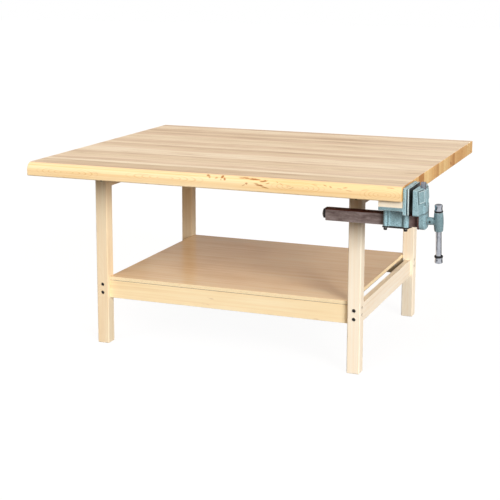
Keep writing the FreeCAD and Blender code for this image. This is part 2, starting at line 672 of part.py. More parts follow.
# ------------------------------------------------------------------ vise: what is fixed to the bench
def make_vise_mounting():
    """Wooden packing under the top, and the screws that carry the vise."""
    lags = [hex_bolt(LAG_RADIUS, (x, y, FLANGE_BOTTOM), AXIS_Z, Z_UNDER - FLANGE_BOTTOM + MOUNT_LAG_BITE,
                     BOLT_HEAD_FLATS, BOLT_HEAD_HEIGHT) for x, y in mounting_lag_places()]
    lags += [flat_screw(LAG_RADIUS, (x, y, FLANGE_BOTTOM), AXIS_Z, Z_UNDER - FLANGE_BOTTOM + MOUNT_LAG_BITE,
                        MOUNT_FLAT_HEAD_RADIUS, MOUNT_FLAT_HEAD_HEIGHT) for x, y in mounting_flat_places()]
    save("vise_mounting_screws", lags)
    spacer = block(FLANGE_BACK, X_RIGHT, VISE_Y - JAW_WIDTH / 2, VISE_Y + JAW_WIDTH / 2, FLANGE_TOP, Z_UNDER)
    spacer = spacer.makeFillet(SHELF_EASE, edges_along(spacer, AXIS_Z))
    holes = [rod(LAG_RADIUS + BOLT_HOLE_CLEARANCE, (x, y, FLANGE_TOP), AXIS_Z, Z_UNDER - FLANGE_TOP)
             for x, y in mounting_lag_places() + mounting_flat_places()]
    save("vise_spacer_block", carved(spacer, holes))
    save("vise_face_screws", [flat_screw(FACE_SCREW_RADIUS, (REAR_JAW_FACE, y, z), -AXIS_X,
                                         REAR_JAW_THICKNESS + FACE_SCREW_BITE, FACE_SCREW_HEAD_RADIUS,
                                         FACE_SCREW_HEAD_HEIGHT) for y, z in face_screw_places()])


def make_vise_body():
    """Fixed casting: flange, rear jaw and the guide tunnel with its ribbed columns."""
    y0 = VISE_Y - JAW_WIDTH / 2
    y1 = VISE_Y + JAW_WIDTH / 2
    flange = eased_block((FLANGE_BACK, REAR_JAW_FACE - JAW_EDGE_ROUND, y0, y1, FLANGE_BOTTOM, FLANGE_TOP),
                         JAW_EDGE_ROUND, AXIS_Z)
    jaw = block(X_RIGHT, REAR_JAW_FACE, y0, y1, JAW_BOTTOM, JAW_TOP)
    jaw = jaw.makeFillet(JAW_EDGE_ROUND, edges_where(jaw, lambda p: near(p.x, REAR_JAW_FACE)))
    wall = block(TUNNEL_BACK, REAR_JAW_FACE - JAW_EDGE_ROUND, VISE_Y - TUNNEL_OUTER, VISE_Y + TUNNEL_OUTER,
                 KEEPER_TOP, FLANGE_BOTTOM + 1)
    parts = [flange, jaw, wall]
    height = FLANGE_BOTTOM + 1 - KEEPER_TOP
    for sign in (-1, 1):
        for x, radius, y in ((BACK_RIB_X, BACK_RIB_RADIUS, TUNNEL_OUTER),
                             (BACK_RIB_SMALL_X, BACK_RIB_SMALL_RADIUS, TUNNEL_OUTER),
                             (FRONT_RIB_X, FRONT_RIB_RADIUS, TUNNEL_OUTER - FRONT_RIB_Y_SINK)):
            parts.append(rod(radius, (x, VISE_Y + sign * y, KEEPER_TOP), AXIS_Z, height))
    body = joined(parts)
    tunnel = block(TUNNEL_BACK - 1, REAR_JAW_FACE + 1, VISE_Y - TUNNEL_INNER, VISE_Y + TUNNEL_INNER,
                   KEEPER_TOP - 1, BAR_TOP + SLIDE_CLEARANCE)
    socket_floor = JAW_BOTTOM + PIVOT_SOCKET_FLOOR_RISE
    socket_height = JAW_TOP - socket_floor + 1
    socket = rod(PIVOT_RIB_RADIUS + PIVOT_RIB_CLEARANCE, (PIVOT_X, VISE_Y, socket_floor), AXIS_Z, socket_height)
    cutters = [tunnel, socket]
    for x, y in mounting_lag_places():
        cutters.append(rod(LAG_RADIUS + BOLT_HOLE_CLEARANCE, (x, y, FLANGE_BOTTOM - 1), AXIS_Z,
                           FLANGE_THICKNESS + 2))
    for x, y in mounting_flat_places():
        cutters.append(flat_screw(LAG_RADIUS + BOLT_HOLE_CLEARANCE, (x, y, FLANGE_BOTTOM), AXIS_Z,
                                  FLANGE_THICKNESS + 2 * MOUNT_FLAT_HEAD_RADIUS,
                                  MOUNT_FLAT_HEAD_RADIUS + BOLT_HOLE_CLEARANCE, MOUNT_FLAT_HEAD_HEIGHT))
    for y, z in face_screw_places():
        cutters.append(flat_screw(FACE_SCREW_RADIUS + BOLT_HOLE_CLEARANCE, (REAR_JAW_FACE, y, z), -AXIS_X,
                                  REAR_JAW_THICKNESS + 2 * FACE_SCREW_HEAD_RADIUS,
                                  FACE_SCREW_HEAD_RADIUS + BOLT_HOLE_CLEARANCE, FACE_SCREW_HEAD_HEIGHT))
    for x, y in keeper_bolt_places():
        cutters.append(rod(KEEPER_BOLT_RADIUS + THREAD_CLEARANCE, (x, y, KEEPER_TOP - 1), AXIS_Z,
                           KEEPER_BOLT_BITE + 3))
    save("vise_body", carved(body, cutters))


def make_keeper():
    """Plate that closes the tunnel from below, with its bolts and lock washers."""
    plate = eased_block((TUNNEL_BACK - KEEPER_BACK_REACH, REAR_JAW_FACE, VISE_Y - KEEPER_HALF_WIDTH,
                         VISE_Y + KEEPER_HALF_WIDTH, KEEPER_BOTTOM, KEEPER_TOP), 3 * JAW_EDGE_ROUND, AXIS_Z)
    bolts = []
    washers = []
    holes = []
    for x, y in keeper_bolt_places():
        washer_bottom = KEEPER_BOTTOM - LOCK_WASHER_THICKNESS
        holes.append(rod(KEEPER_BOLT_RADIUS + BOLT_HOLE_CLEARANCE, (x, y, KEEPER_BOTTOM), AXIS_Z,
                         KEEPER_THICKNESS))
        bolts.append(hex_bolt(KEEPER_BOLT_RADIUS, (x, y, washer_bottom), AXIS_Z,
                              LOCK_WASHER_THICKNESS + KEEPER_THICKNESS + KEEPER_BOLT_BITE,
                              BOLT_HEAD_FLATS, KEEPER_BOLT_HEAD_HEIGHT))
        washers.append(tube(LOCK_WASHER_RADIUS, KEEPER_BOLT_RADIUS + BOLT_HOLE_CLEARANCE,
                            (x, y, washer_bottom), AXIS_Z, LOCK_WASHER_THICKNESS))
    for x, y in nut_screw_places():
        holes.append(rod(NUT_SCREW_RADIUS + BOLT_HOLE_CLEARANCE, (x, y, KEEPER_BOTTOM), AXIS_Z,
                         KEEPER_THICKNESS))
    save("keeper_plate", carved(plate, holes))
    save("keeper_bolts", bolts)
    save("keeper_lock_washers", washers)


def make_screw_nut():
    """Nut block on the keeper plate, inside the bar's channel, and its two screws."""
    half = BAR_WIDTH / 2 - BAR_WALL - NUT_BLOCK_SIDE_CLEARANCE
    x0 = FLANGE_BACK + NUT_BLOCK_BACK_INSET
    top = BAR_TOP - BAR_WALL - NUT_BLOCK_TOP_CLEARANCE
    nut = eased_block((x0, x0 + NUT_BLOCK_LENGTH, VISE_Y - half, VISE_Y + half, KEEPER_TOP, top),
                      JAW_EDGE_ROUND, AXIS_Z)
    cutters = [rod(SCREW_RADIUS + SCREW_CLEARANCE, (x0 - 1, VISE_Y, SCREW_Z), AXIS_X, NUT_BLOCK_LENGTH + 2)]
    screws = []
    for x, y in nut_screw_places():
        cutters.append(rod(NUT_SCREW_RADIUS + THREAD_CLEARANCE, (x, y, KEEPER_TOP - 1), AXIS_Z,
                           NUT_SCREW_BITE + 2))
        head = rod(NUT_SCREW_HEAD_RADIUS, (x, y, KEEPER_BOTTOM - NUT_SCREW_HEAD_HEIGHT), AXIS_Z,
                   NUT_SCREW_HEAD_HEIGHT)
        shank = rod(NUT_SCREW_RADIUS, (x, y, KEEPER_BOTTOM), AXIS_Z, KEEPER_THICKNESS + NUT_SCREW_BITE)
        screws.append(joined([head, shank]))
    save("screw_nut", carved(nut, cutters))
    save("screw_nut_screws", screws)


def make_pivot_plate():
    """Jaw plate that turns a little on a rib held in the rear jaw's socket."""
    half = JAW_WIDTH / 2
    end_round = PIVOT_PLATE_THICKNESS / 2 - 0.01
    z0 = JAW_BOTTOM + PIVOT_PLATE_BOTTOM_RISE
    z1 = JAW_TOP - PIVOT_PLATE_TOP_DROP
    plate = eased_block((PLATE_BACK, PLATE_FACE, VISE_Y - half, VISE_Y + half, z0, z1), end_round, AXIS_Z)
    rib_floor = JAW_BOTTOM + PIVOT_SOCKET_FLOOR_RISE
    rib = rod(PIVOT_RIB_RADIUS, (PIVOT_X, VISE_Y, rib_floor), AXIS_Z, z1 - rib_floor)
    neck = block(PIVOT_X, PLATE_BACK + 1, VISE_Y - PIVOT_NECK_WIDTH / 2, VISE_Y + PIVOT_NECK_WIDTH / 2,
                 rib_floor, z1)
    save("pivot_jaw_plate", joined([plate, rib, neck]))


# ------------------------------------------------------------------ vise: what slides with the front jaw
def jaw_outline(lift, half_width, spread):
    """Plan of the jaw's front at its lower edge, as x offsets from the jaw's back."""
    ends = JAW_END_THICKNESS + JAW_FACE_TAPER + lift
    return [(JAW_BACK + ends, VISE_Y - half_width), (JAW_BACK + ends + spread, VISE_Y - KEEL_HALF_WIDTH),
            (JAW_BACK + ends + spread, VISE_Y + KEEL_HALF_WIDTH), (JAW_BACK + ends, VISE_Y + half_width)]


def leaning_prism(outline, z0, z1):
    """Plan outline pushed up along the jaw's leaning front, from z0 to z1."""
    shift = -TAPER_SLOPE * (z0 - JAW_BOTTOM)
    rise = z1 - z0
    return prism([(x + shift, y, z0) for x, y in outline], Vec(-TAPER_SLOPE * rise, 0, rise))


def make_front_jaw():
    """Moving casting: leaning front with two panels, the dog's keel, and the lower boss."""
    half = JAW_WIDTH / 2
    front = jaw_outline(0, half, JAW_FACE_SPREAD)
    behind = JAW_BACK - 2 * JAW_FACE_TAPER
    wedge = leaning_prism(front + [(behind, VISE_Y + half), (behind, VISE_Y - half)], JAW_BOTTOM, JAW_TOP)
    reach = BOSS_FRONT + 4 * KEEL_PROUD
    wedge = wedge.common(block(JAW_BACK, reach, VISE_Y - half, VISE_Y + half, JAW_BOTTOM, JAW_TOP))
    slope = prism([(JAW_BACK + JAW_EDGE_ROUND, VISE_Y - half - 1, JAW_TOP),
                   (JAW_BACK + JAW_END_THICKNESS, VISE_Y - half - 1, JAW_TOP - JAW_TOP_SLOPE),
                   (reach, VISE_Y - half - 1, JAW_TOP - 2 * JAW_TOP_SLOPE),
                   (reach, VISE_Y - half - 1, JAW_TOP + 1),
                   (JAW_BACK + JAW_EDGE_ROUND, VISE_Y - half - 1, JAW_TOP + 1)],
                  AXIS_Y * (JAW_WIDTH + 2))
    keel_front = JAW_BACK + JAW_END_THICKNESS + JAW_FACE_TAPER + JAW_FACE_SPREAD + KEEL_PROUD
    keel_plan = [(JAW_BACK + JAW_END_THICKNESS, VISE_Y - KEEL_HALF_WIDTH),
                 (keel_front - KEEL_PROUD / 2, VISE_Y - KEEL_HALF_WIDTH),
                 (keel_front, VISE_Y - KEEL_HALF_WIDTH + KEEL_PROUD),
                 (keel_front, VISE_Y + KEEL_HALF_WIDTH - KEEL_PROUD),
                 (keel_front - KEEL_PROUD / 2, VISE_Y + KEEL_HALF_WIDTH),
                 (JAW_BACK + JAW_END_THICKNESS, VISE_Y + KEEL_HALF_WIDTH)]
    keel = leaning_prism(keel_plan, KEEL_BOTTOM, JAW_TOP)
    body = joined([wedge, keel]).cut(slope)

    parts = [body]
    panel_low = JAW_BOTTOM + PANEL_BOTTOM_RISE
    panel_high = JAW_TOP - PANEL_TOP_INSET
    for sign in (-1, 1):
        outer = half - PANEL_END_INSET
        inner = KEEL_HALF_WIDTH + PANEL_KEEL_INSET
        spread = JAW_FACE_SPREAD / (half - KEEL_HALF_WIDTH)
        base = JAW_BACK + JAW_END_THICKNESS + JAW_FACE_TAPER + PANEL_PROUD
        outline = [(base + spread * (half - outer), VISE_Y + sign * outer),
                   (base + spread * (half - inner), VISE_Y + sign * inner),
                   (base - 2 * PANEL_PROUD, VISE_Y + sign * inner),
                   (base - 2 * PANEL_PROUD, VISE_Y + sign * outer)]
        panel = leaning_prism(outline, panel_low, panel_high)
        parts.append(panel)

    boss = block(BOSS_BACK, BOSS_FRONT, VISE_Y - BOSS_HALF_WIDTH, VISE_Y + BOSS_HALF_WIDTH,
                 SCREW_Z - BOSS_BELOW_AXIS, KEEL_BOTTOM)
    low_corners = [edge for edge in edges_along(boss, AXIS_X)
                   if near(edge.Vertexes[0].Point.z, SCREW_Z - BOSS_BELOW_AXIS)]
    boss = boss.makeFillet(BOSS_CORNER_ROUND, low_corners)
    rim = edges_where(boss, lambda p: near(p.x, BOSS_FRONT))
    boss = boss.makeChamfer(BOSS_SIDE_CHAMFER, [e for e in rim if not near(e.CenterOfMass.z, KEEL_BOTTOM)])
    parts.append(boss)
    badge_low = JAW_BOTTOM + BADGE_BOTTOM_RISE
    parts.append(eased_block((BOSS_FRONT - 1, BOSS_FRONT + BADGE_PROUD, VISE_Y - BADGE_HALF_WIDTH + BOSS_SIDE_CHAMFER,
                              VISE_Y + BADGE_HALF_WIDTH - BOSS_SIDE_CHAMFER, badge_low, badge_low + BADGE_HEIGHT),
                             JAW_EDGE_ROUND, AXIS_X))
    keel_at_plunger = keel_front - TAPER_SLOPE * (PLUNGER_Z - JAW_BOTTOM)
    parts.append(rod(PLUNGER_BOSS_RADIUS, (keel_at_plunger - 2, VISE_Y, PLUNGER_Z), AXIS_X,
                     2 + PLUNGER_BOSS_PROUD))
    jaw = joined(parts)

    slot_floor = DOG_BOTTOM - DOG_RAISED - DOG_SLOT_SPARE
    slot = block(DOG_BACK - DOG_CLEARANCE, DOG_BACK + DOG_THICKNESS + DOG_CLEARANCE,
                 VISE_Y - DOG_WIDTH / 2 - DOG_CLEARANCE, VISE_Y + DOG_WIDTH / 2 + DOG_CLEARANCE,
                 slot_floor, JAW_TOP + 1)
    bearing = rod(SCREW_RADIUS + SCREW_CLEARANCE, (BOSS_BACK - 1, VISE_Y, SCREW_Z), AXIS_X, BOSS_THICKNESS + 2)
    plunger = rod(PLUNGER_RADIUS + THREAD_CLEARANCE, (DOG_BACK + DOG_THICKNESS, VISE_Y, PLUNGER_Z), AXIS_X,
                  BOSS_THICKNESS + BOSS_SETBACK)
    cutters = [slot, bearing, plunger]
    for y, z in mount_screw_places():
        cutters.append(rod(NUT_SCREW_RADIUS + THREAD_CLEARANCE, (BOSS_BACK - 1, y, z), AXIS_X,
                           MOUNT_SCREW_BITE + 2))
    save("front_jaw", carved(jaw, cutters))

    pad_back = DOG_BACK + DOG_THICKNESS + FRICTION_PAD_GAP
    save("dog_friction_pad", rod(PLUNGER_RADIUS, (pad_back, VISE_Y, PLUNGER_Z), AXIS_X, FRICTION_PAD_LENGTH))
    screw_front = keel_at_plunger + PLUNGER_BOSS_PROUD - PLUNGER_SCREW_RECESS
    screw_back = pad_back + FRICTION_PAD_LENGTH
    screw = rod(PLUNGER_RADIUS, (screw_back, VISE_Y, PLUNGER_Z), AXIS_X, screw_front - screw_back)
    key = hexagon(PLUNGER_RADIUS, (screw_front - PLUNGER_RADIUS, VISE_Y, PLUNGER_Z), AXIS_X, PLUNGER_RADIUS)
    save("dog_set_screw", screw.cut(key))


def make_dog():
    """Flat stop with a rounded top that slides up out of the jaw."""
    dog = block(DOG_BACK, DOG_BACK + DOG_THICKNESS, VISE_Y - DOG_WIDTH / 2, VISE_Y + DOG_WIDTH / 2,
                DOG_BOTTOM, DOG_TOP)
    upper = [edge for edge in edges_along(dog, AXIS_X) if near(edge.Vertexes[0].Point.z, DOG_TOP)]
    dog = dog.makeFillet(DOG_CORNER_ROUND, upper)
    rim = edges_where(dog, lambda p: p.z > DOG_TOP - 2 * DOG_CORNER_ROUND)
    save("dog", dog.makeFillet(JAW_EDGE_ROUND / 2, [e for e in rim if not near(e.BoundBox.XLength, DOG_THICKNESS)]))


def make_slide_bar():
    """Steel channel, open below, with the plates on its two ends."""
    y0 = VISE_Y - BAR_WIDTH / 2
    y1 = VISE_Y + BAR_WIDTH / 2
    bar = block(BAR_START, MOUNT_BACK, y0, y1, BAR_BOTTOM, BAR_TOP)
    bar = bar.makeFillet(BAR_CORNER_ROUND, [e for e in edges_along(bar, AXIS_X)
                                            if near(e.Vertexes[0].Point.z, BAR_TOP)])
    hollow = block(BAR_START - 1, MOUNT_BACK + 1, y0 + BAR_WALL, y1 - BAR_WALL, BAR_BOTTOM - 1, BAR_TOP - BAR_WALL)
    cutters = [hollow]
    screws = []
    for y, z in bar_end_screw_places():
        cutters.append(rod(END_SCREW_RADIUS + THREAD_CLEARANCE, (BAR_START - 1, y, z), AXIS_X, END_SCREW_BITE + 2))
    save("slide_bar", carved(bar, cutters))

    plate_back = BAR_START - END_PLATE_THICKNESS
    inset = END_PLATE_INSET
    plate = eased_block((plate_back, BAR_START, y0 + inset, y1 - inset, BAR_BOTTOM + END_PLATE_LIFT, BAR_TOP - inset),
                        BAR_CORNER_ROUND, AXIS_X)
    holes = [rod(SCREW_RADIUS + SCREW_CLEARANCE, (plate_back - 1, VISE_Y, SCREW_Z), AXIS_X,
                 END_PLATE_THICKNESS + 2)]
    for y, z in bar_end_screw_places():
        holes.append(rod(END_SCREW_RADIUS + THREAD_CLEARANCE, (plate_back - 1, y, z), AXIS_X,
                         END_PLATE_THICKNESS + 2))
        head = rod(END_SCREW_HEAD_RADIUS, (plate_back - END_SCREW_HEAD_HEIGHT, y, z), AXIS_X,
                   END_SCREW_HEAD_HEIGHT)
        shank = rod(END_SCREW_RADIUS, (plate_back, y, z), AXIS_X, END_PLATE_THICKNESS + END_SCREW_BITE)
        screws.append(joined([head, shank]))
    save("bar_end_plate", carved(plate, holes))
    save("bar_end_screws", screws)


def make_mount_plate():
    """Plate between the bar and the boss, and the screws through it."""
    plate = eased_block((MOUNT_BACK, BOSS_BACK, VISE_Y - MOUNT_PLATE_HALF_WIDTH, VISE_Y + MOUNT_PLATE_HALF_WIDTH,
                         BAR_BOTTOM - MOUNT_PLATE_BELOW_BAR, BAR_TOP + MOUNT_PLATE_ABOVE_BAR),
                        MOUNT_PLATE_ROUND, AXIS_X)
    holes = [rod(SCREW_RADIUS + SCREW_CLEARANCE, (MOUNT_BACK - 1, VISE_Y, SCREW_Z), AXIS_X,
                 MOUNT_PLATE_THICKNESS + 2)]
    screws = []
    for y, z in mount_screw_places():
        holes.append(rod(NUT_SCREW_RADIUS + BOLT_HOLE_CLEARANCE, (MOUNT_BACK - 1, y, z), AXIS_X,
                         MOUNT_PLATE_THICKNESS + 2))
        head = rod(NUT_SCREW_HEAD_RADIUS, (MOUNT_BACK - NUT_SCREW_HEAD_HEIGHT, y, z), AXIS_X,
                   NUT_SCREW_HEAD_HEIGHT)
        key = hexagon(NUT_SCREW_RADIUS, (MOUNT_BACK - NUT_SCREW_HEAD_HEIGHT, y, z), AXIS_X,
                      NUT_SCREW_HEAD_HEIGHT / 2)
        shank = rod(NUT_SCREW_RADIUS, (MOUNT_BACK, y, z), AXIS_X, MOUNT_PLATE_THICKNESS + MOUNT_SCREW_BITE)
        screws.append(joined([head, shank]).cut(key))
    save("bar_mount_plate", carved(plate, holes))
    save("bar_mount_screws", screws)


# ------------------------------------------------------------------ vise: what turns with the screw
def make_screw():
    """Lead screw with its collars, pin and thrust washer; the thread is left plain."""
    tail = BAR_START - END_PLATE_THICKNESS - COLLAR_CLEARANCE - TAIL_COLLAR_LENGTH
    seat = HUB_BACK + HUB_REACH - BARREL_RADIUS
    screw = rod(SCREW_RADIUS, (tail, VISE_Y, SCREW_Z), AXIS_X, seat - tail)
    collar_back = MOUNT_BACK - COLLAR_CLEARANCE - COLLAR_LENGTH
    pin_x = collar_back + COLLAR_LENGTH / 2
    pin_half = COLLAR_RADIUS - PIN_RADIUS / 2
    pin_start = (pin_x, VISE_Y - pin_half, SCREW_Z)
    pin_hole = rod(PIN_RADIUS, (pin_x, VISE_Y - 2 * COLLAR_RADIUS, SCREW_Z), AXIS_Y, 4 * COLLAR_RADIUS)
    set_screw_seat = hung(rod(HUB_SCREW_RADIUS, hub_set_screw_place(), AXIS_Y, hub_screw_reach()))
    screw = carved(screw, [pin_hole, set_screw_seat])
    save("main_screw", screw)
    collar = tube(COLLAR_RADIUS, SCREW_RADIUS, (collar_back, VISE_Y, SCREW_Z), AXIS_X, COLLAR_LENGTH)
    save("screw_collar", collar.cut(pin_hole))
    save("collar_pin", rod(PIN_RADIUS, pin_start, AXIS_Y, 2 * pin_half))
    save("tail_collar", tube(TAIL_COLLAR_RADIUS, SCREW_RADIUS, (tail, VISE_Y, SCREW_Z), AXIS_X,
                             TAIL_COLLAR_LENGTH))
    save("thrust_washer", tube(THRUST_WASHER_RADIUS, SCREW_RADIUS, (BOSS_FRONT, VISE_Y, SCREW_Z), AXIS_X,
                               THRUST_WASHER_THICKNESS))


def hung(shape):
    """Turn a hub or handle piece about the screw, to where the handle hangs."""
    turned = shape.copy()
    turned.rotate(Vec(0, VISE_Y, SCREW_Z), AXIS_X, HANDLE_LEAN)
    return turned


def hub_set_screw_place():
    """Outer end of the hub's set screw hole, on the neck's front side."""
    return (HUB_BACK + HUB_SCREW_OFFSET, VISE_Y - HUB_NECK_RADIUS, SCREW_Z)


def hub_screw_reach():
    """Length of the set screw and the recess outside it."""
    return HUB_SCREW_RECESS + HUB_SCREW_LENGTH


def make_hub():
    """T-shaped hub on the screw's end, bored across for the handle."""
    neck_length = HUB_REACH - BARREL_END_RADIUS / 2
    neck = cone(HUB_NECK_RADIUS, HUB_NECK_TIP_RADIUS, (HUB_BACK, VISE_Y, SCREW_Z), AXIS_X, neck_length)
    low = Vec(BARREL_X, VISE_Y, SCREW_Z - BARREL_HALF_HEIGHT)
    high = Vec(BARREL_X, VISE_Y, SCREW_Z + BARREL_HALF_HEIGHT)
    side = Part.Arc(low + AXIS_X * BARREL_END_RADIUS, Vec(BARREL_X + BARREL_RADIUS, VISE_Y, SCREW_Z),
                    high + AXIS_X * BARREL_END_RADIUS).toShape()
    profile = Part.Wire([Part.makeLine(low, low + AXIS_X * BARREL_END_RADIUS), side,
                         Part.makeLine(high + AXIS_X * BARREL_END_RADIUS, high), Part.makeLine(high, low)])
    barrel = Part.Face(profile).revolve(Vec(BARREL_X, VISE_Y, 0), AXIS_Z, 360)
    hub = joined([barrel, neck])
    seat = HUB_BACK + HUB_REACH - BARREL_RADIUS
    cutters = [rod(SCREW_RADIUS, (HUB_BACK - 1, VISE_Y, SCREW_Z), AXIS_X, seat - HUB_BACK + 1),
               rod(ROD_RADIUS + ROD_CLEARANCE, tuple(low - AXIS_Z), AXIS_Z, 2 * BARREL_HALF_HEIGHT + 2),
               rod(HUB_SCREW_RADIUS, (hub_set_screw_place()[0], VISE_Y - 2 * HUB_NECK_RADIUS, SCREW_Z), AXIS_Y,
                   HUB_NECK_RADIUS + hub_screw_reach())]
    save("handle_hub", hung(carved(hub, cutters)))
    x, y, z = hub_set_screw_place()
    screw = rod(HUB_SCREW_RADIUS, (x, y + HUB_SCREW_RECESS, z), AXIS_Y, HUB_SCREW_LENGTH)
    key = hexagon(HUB_SCREW_RADIUS, (x, y + HUB_SCREW_RECESS, z), AXIS_Y, HUB_SCREW_RADIUS)
    save("hub_set_screw", hung(screw.cut(key)))


# ------------------------------------------------------------------ vise: the sliding handle
def make_handle():
    """Bar handle with a cap and a rubber ring at each end, hanging on its upper ring at a slight lean."""
    ring_low = SCREW_Z + BARREL_HALF_HEIGHT + RING_TO_HUB
    cap_low = ring_low + RING_HEIGHT
    cap_top = cap_low + CAP_LENGTH
    rod_top = cap_top - CAP_WALL
    rod_low = rod_top - ROD_LENGTH
    low_cap_bottom = rod_low - CAP_WALL
    low_cap_top = low_cap_bottom + CAP_LENGTH
    centre = (BARREL_X, VISE_Y)
    save("handle_rod", hung(rod(ROD_RADIUS, centre + (rod_low,), AXIS_Z, ROD_LENGTH)))
    for name, bottom, bore_low in (("upper", cap_low, cap_low), ("lower", low_cap_bottom, rod_low)):
        cap = rod(CAP_RADIUS, centre + (bottom,), AXIS_Z, CAP_LENGTH)
        cap = cap.makeFillet(CAP_EDGE, [e for e in cap.Edges if len(e.Vertexes) == 1])
        bore = rod(ROD_RADIUS, centre + (bore_low,), AXIS_Z, CAP_LENGTH - CAP_WALL)
        save("handle_cap_" + name, hung(cap.cut(bore)))
    for name, bottom in (("upper", ring_low), ("lower", low_cap_top)):
        ring = rod(RING_RADIUS, centre + (bottom,), AXIS_Z, RING_HEIGHT)
        ring = ring.makeFillet(RING_EDGE, [e for e in ring.Edges if len(e.Vertexes) == 1])
        bore = rod(ROD_RADIUS, centre + (bottom,), AXIS_Z, RING_HEIGHT)
        save("handle_ring_" + name, hung(ring.cut(bore)))


make_top()
make_legs()
make_end_rails()
make_long_rails_and_shelf()
make_top_lags()
make_frame_fasteners("end_frame", end_frame_joints())
make_frame_fasteners("long_rail", long_rail_joints())
make_vise_mounting()
make_vise_body()
make_keeper()
make_screw_nut()
make_pivot_plate()
make_front_jaw()
make_dog()
make_slide_bar()
make_mount_plate()
make_screw()
make_hub()
make_handle()
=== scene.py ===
"""Looks of the maple workbench and its woodworker's vise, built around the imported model.

Metres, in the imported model's frame: +X along the top towards the vise, +Y to the rear, +Z up.
"""

import math
import random

import bpy
from mathutils import Euler, Matrix, Vector


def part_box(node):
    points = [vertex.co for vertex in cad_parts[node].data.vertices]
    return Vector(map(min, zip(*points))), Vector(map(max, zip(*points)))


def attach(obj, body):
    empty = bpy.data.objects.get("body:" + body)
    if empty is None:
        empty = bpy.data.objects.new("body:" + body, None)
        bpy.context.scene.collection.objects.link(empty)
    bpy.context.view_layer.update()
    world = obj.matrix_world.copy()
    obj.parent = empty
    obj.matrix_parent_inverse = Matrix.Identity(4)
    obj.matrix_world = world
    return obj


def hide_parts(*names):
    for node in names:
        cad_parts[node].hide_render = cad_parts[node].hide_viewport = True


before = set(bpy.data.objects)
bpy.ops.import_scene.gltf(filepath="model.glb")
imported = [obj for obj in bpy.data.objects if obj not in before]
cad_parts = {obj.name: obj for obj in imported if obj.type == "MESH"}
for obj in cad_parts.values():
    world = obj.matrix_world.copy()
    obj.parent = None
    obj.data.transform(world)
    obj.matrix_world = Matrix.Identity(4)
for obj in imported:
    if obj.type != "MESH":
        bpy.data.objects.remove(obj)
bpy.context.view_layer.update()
bpy.ops.object.select_all(action="DESELECT")

MM = 0.001
AXES = {"X": Vector((1, 0, 0)), "Y": Vector((0, 1, 0)), "Z": Vector((0, 0, 1))}

# ---------- camera
CAMERA_PLACE = (1.828633, -5.042537, 1.622692)
CAMERA_PAN = 0.371344
CAMERA_DIP = 0.171064
CAMERA_TILT = 0.002292
CAMERA_LENS = 86.849
CAMERA_SHIFT_UP = -0.14

# ---------- light
AMBIENT_STRENGTH = 0.29
AMBIENT_TINT = (1.0, 0.61, 0.36)
FLOOR_SIZE = 60.0
FLOOR_BOUNCE = 0.10
FLOOR_SHADOW_SHARE = 0.10
FLOOR_GLOW = 1.04
# name, strength, then bearing, height and softness in degrees
LAMPS = (
    ("key", 3.2, 48.0, 18.0, 28),
    ("high_front", 0.85, -15.0, 50.0, 30),
    ("overhead", 0.35, -15, 82, 20),
    ("rear_light", 0.9, 175, 12, 30),
    ("left_light", 0.9, -100, 12, 30),
)
# name, place, bearing in degrees, width, height, brightness
CARDS = (
    ("left_card", -1.15, -0.3, 90.0, 2.6, 0.8, 0.16),
    ("rear_card", 0.0, 1.7, 180.0, 4.6, 2.3, 0.38),
    ("right_card", 1.9, 0.35, 130.0, 1.3, 1.3, 0.01),
    ("front_card", 0.0, -1.45, -45.0, 1.0, 1.0, 0.08),
)

# ---------- sizes that the finishes and new pieces share
STRIP_WIDTH = 45.72 * MM
ROUND_TINT_REACH = 24 * MM
END_GRAIN_DEPTH = 1.4 * MM
RING_WIDTH = 3.1 * MM
PLY_COUNT = 7
THREAD_PITCH = 6.35 * MM
THREAD_DEPTH = 1.9 * MM
THREAD_STEPS = 28
JAW_HEIGHT = 103.5 * MM
FLANGE_THICKNESS = 14 * MM
JAW_SLOPE_RUN = 13 * MM
JAW_SLOPE_DROP = 6.5 * MM
JAW_END_THICKNESS = 15 * MM
JAW_FACE_SPREAD = 12 * MM
JAW_FACE_TAPER = 9 * MM
KEEL_HALF_WIDTH = 22 * MM
KEEL_PROUD = 6 * MM
KEEL_RISE = 31.5 * MM
PANEL_END_INSET = 9 * MM
PANEL_KEEL_INSET = 6 * MM
PANEL_TOP_INSET = 12 * MM
PANEL_RISE = 46 * MM
PANEL_PROUD = 5.0 * MM
PANEL_GROOVE = 3.4 * MM
PANEL_BEVEL = 3.6 * MM
BODY_GRAIN = 1.02 * MM
JAW_GRAIN = 0.84 * MM
HUB_GRAIN = 0.65 * MM
HUB_HALF_HEIGHT = 38 * MM
HUB_SCREW_OFFSET = 12 * MM
RING_TO_HUB = 0.3 * MM
RING_HEIGHT = 6.2 * MM
CAP_LENGTH = 23.5 * MM
HANDLE_LENGTH = 236 * MM
HANDLE_LEAN = 7.5
BORE_CLEARANCE = 0.15 * MM
TUNNEL_WALL = 11.3 * MM
TUNNEL_INSET = 7.4 * MM
LAG_HOLE_RADIUS = 4.25 * MM
LAG_HOLE_OFFSET = 66 * MM
FACE_HOLE_RADIUS = 3.25 * MM
FACE_HOLE_OFFSET = 40 * MM
BOSS_HALF_WIDTH = 39 * MM
BOSS_BELOW_SCREW = 34 * MM
BOSS_CORNER = 27 * MM
BADGE_HALF_WIDTH = 28 * MM
PLATE_THICKNESS = 8 * MM
PLATE_RIB_RADIUS = 4.5 * MM
BARREL_RADIUS = 16.5 * MM
BARREL_SWELL = 2.5 * MM
BARREL_STEPS = 8
ROUND_SIDES = 96
MARK_HEIGHT_SCALE = 1.4
BOARD_ROUGHNESS = 0.42
BOLD_JOINT = 7
KNOT_Y = 0.196
KNOT_Z = 0.789


# ---------- shader values
def operator(operation, swapped=False):
    """Method that adds a Math node; swapped puts the value second."""
    def apply(value, other):
        return value.finish.math(operation, *((other, value) if swapped else (value, other)))
    return apply


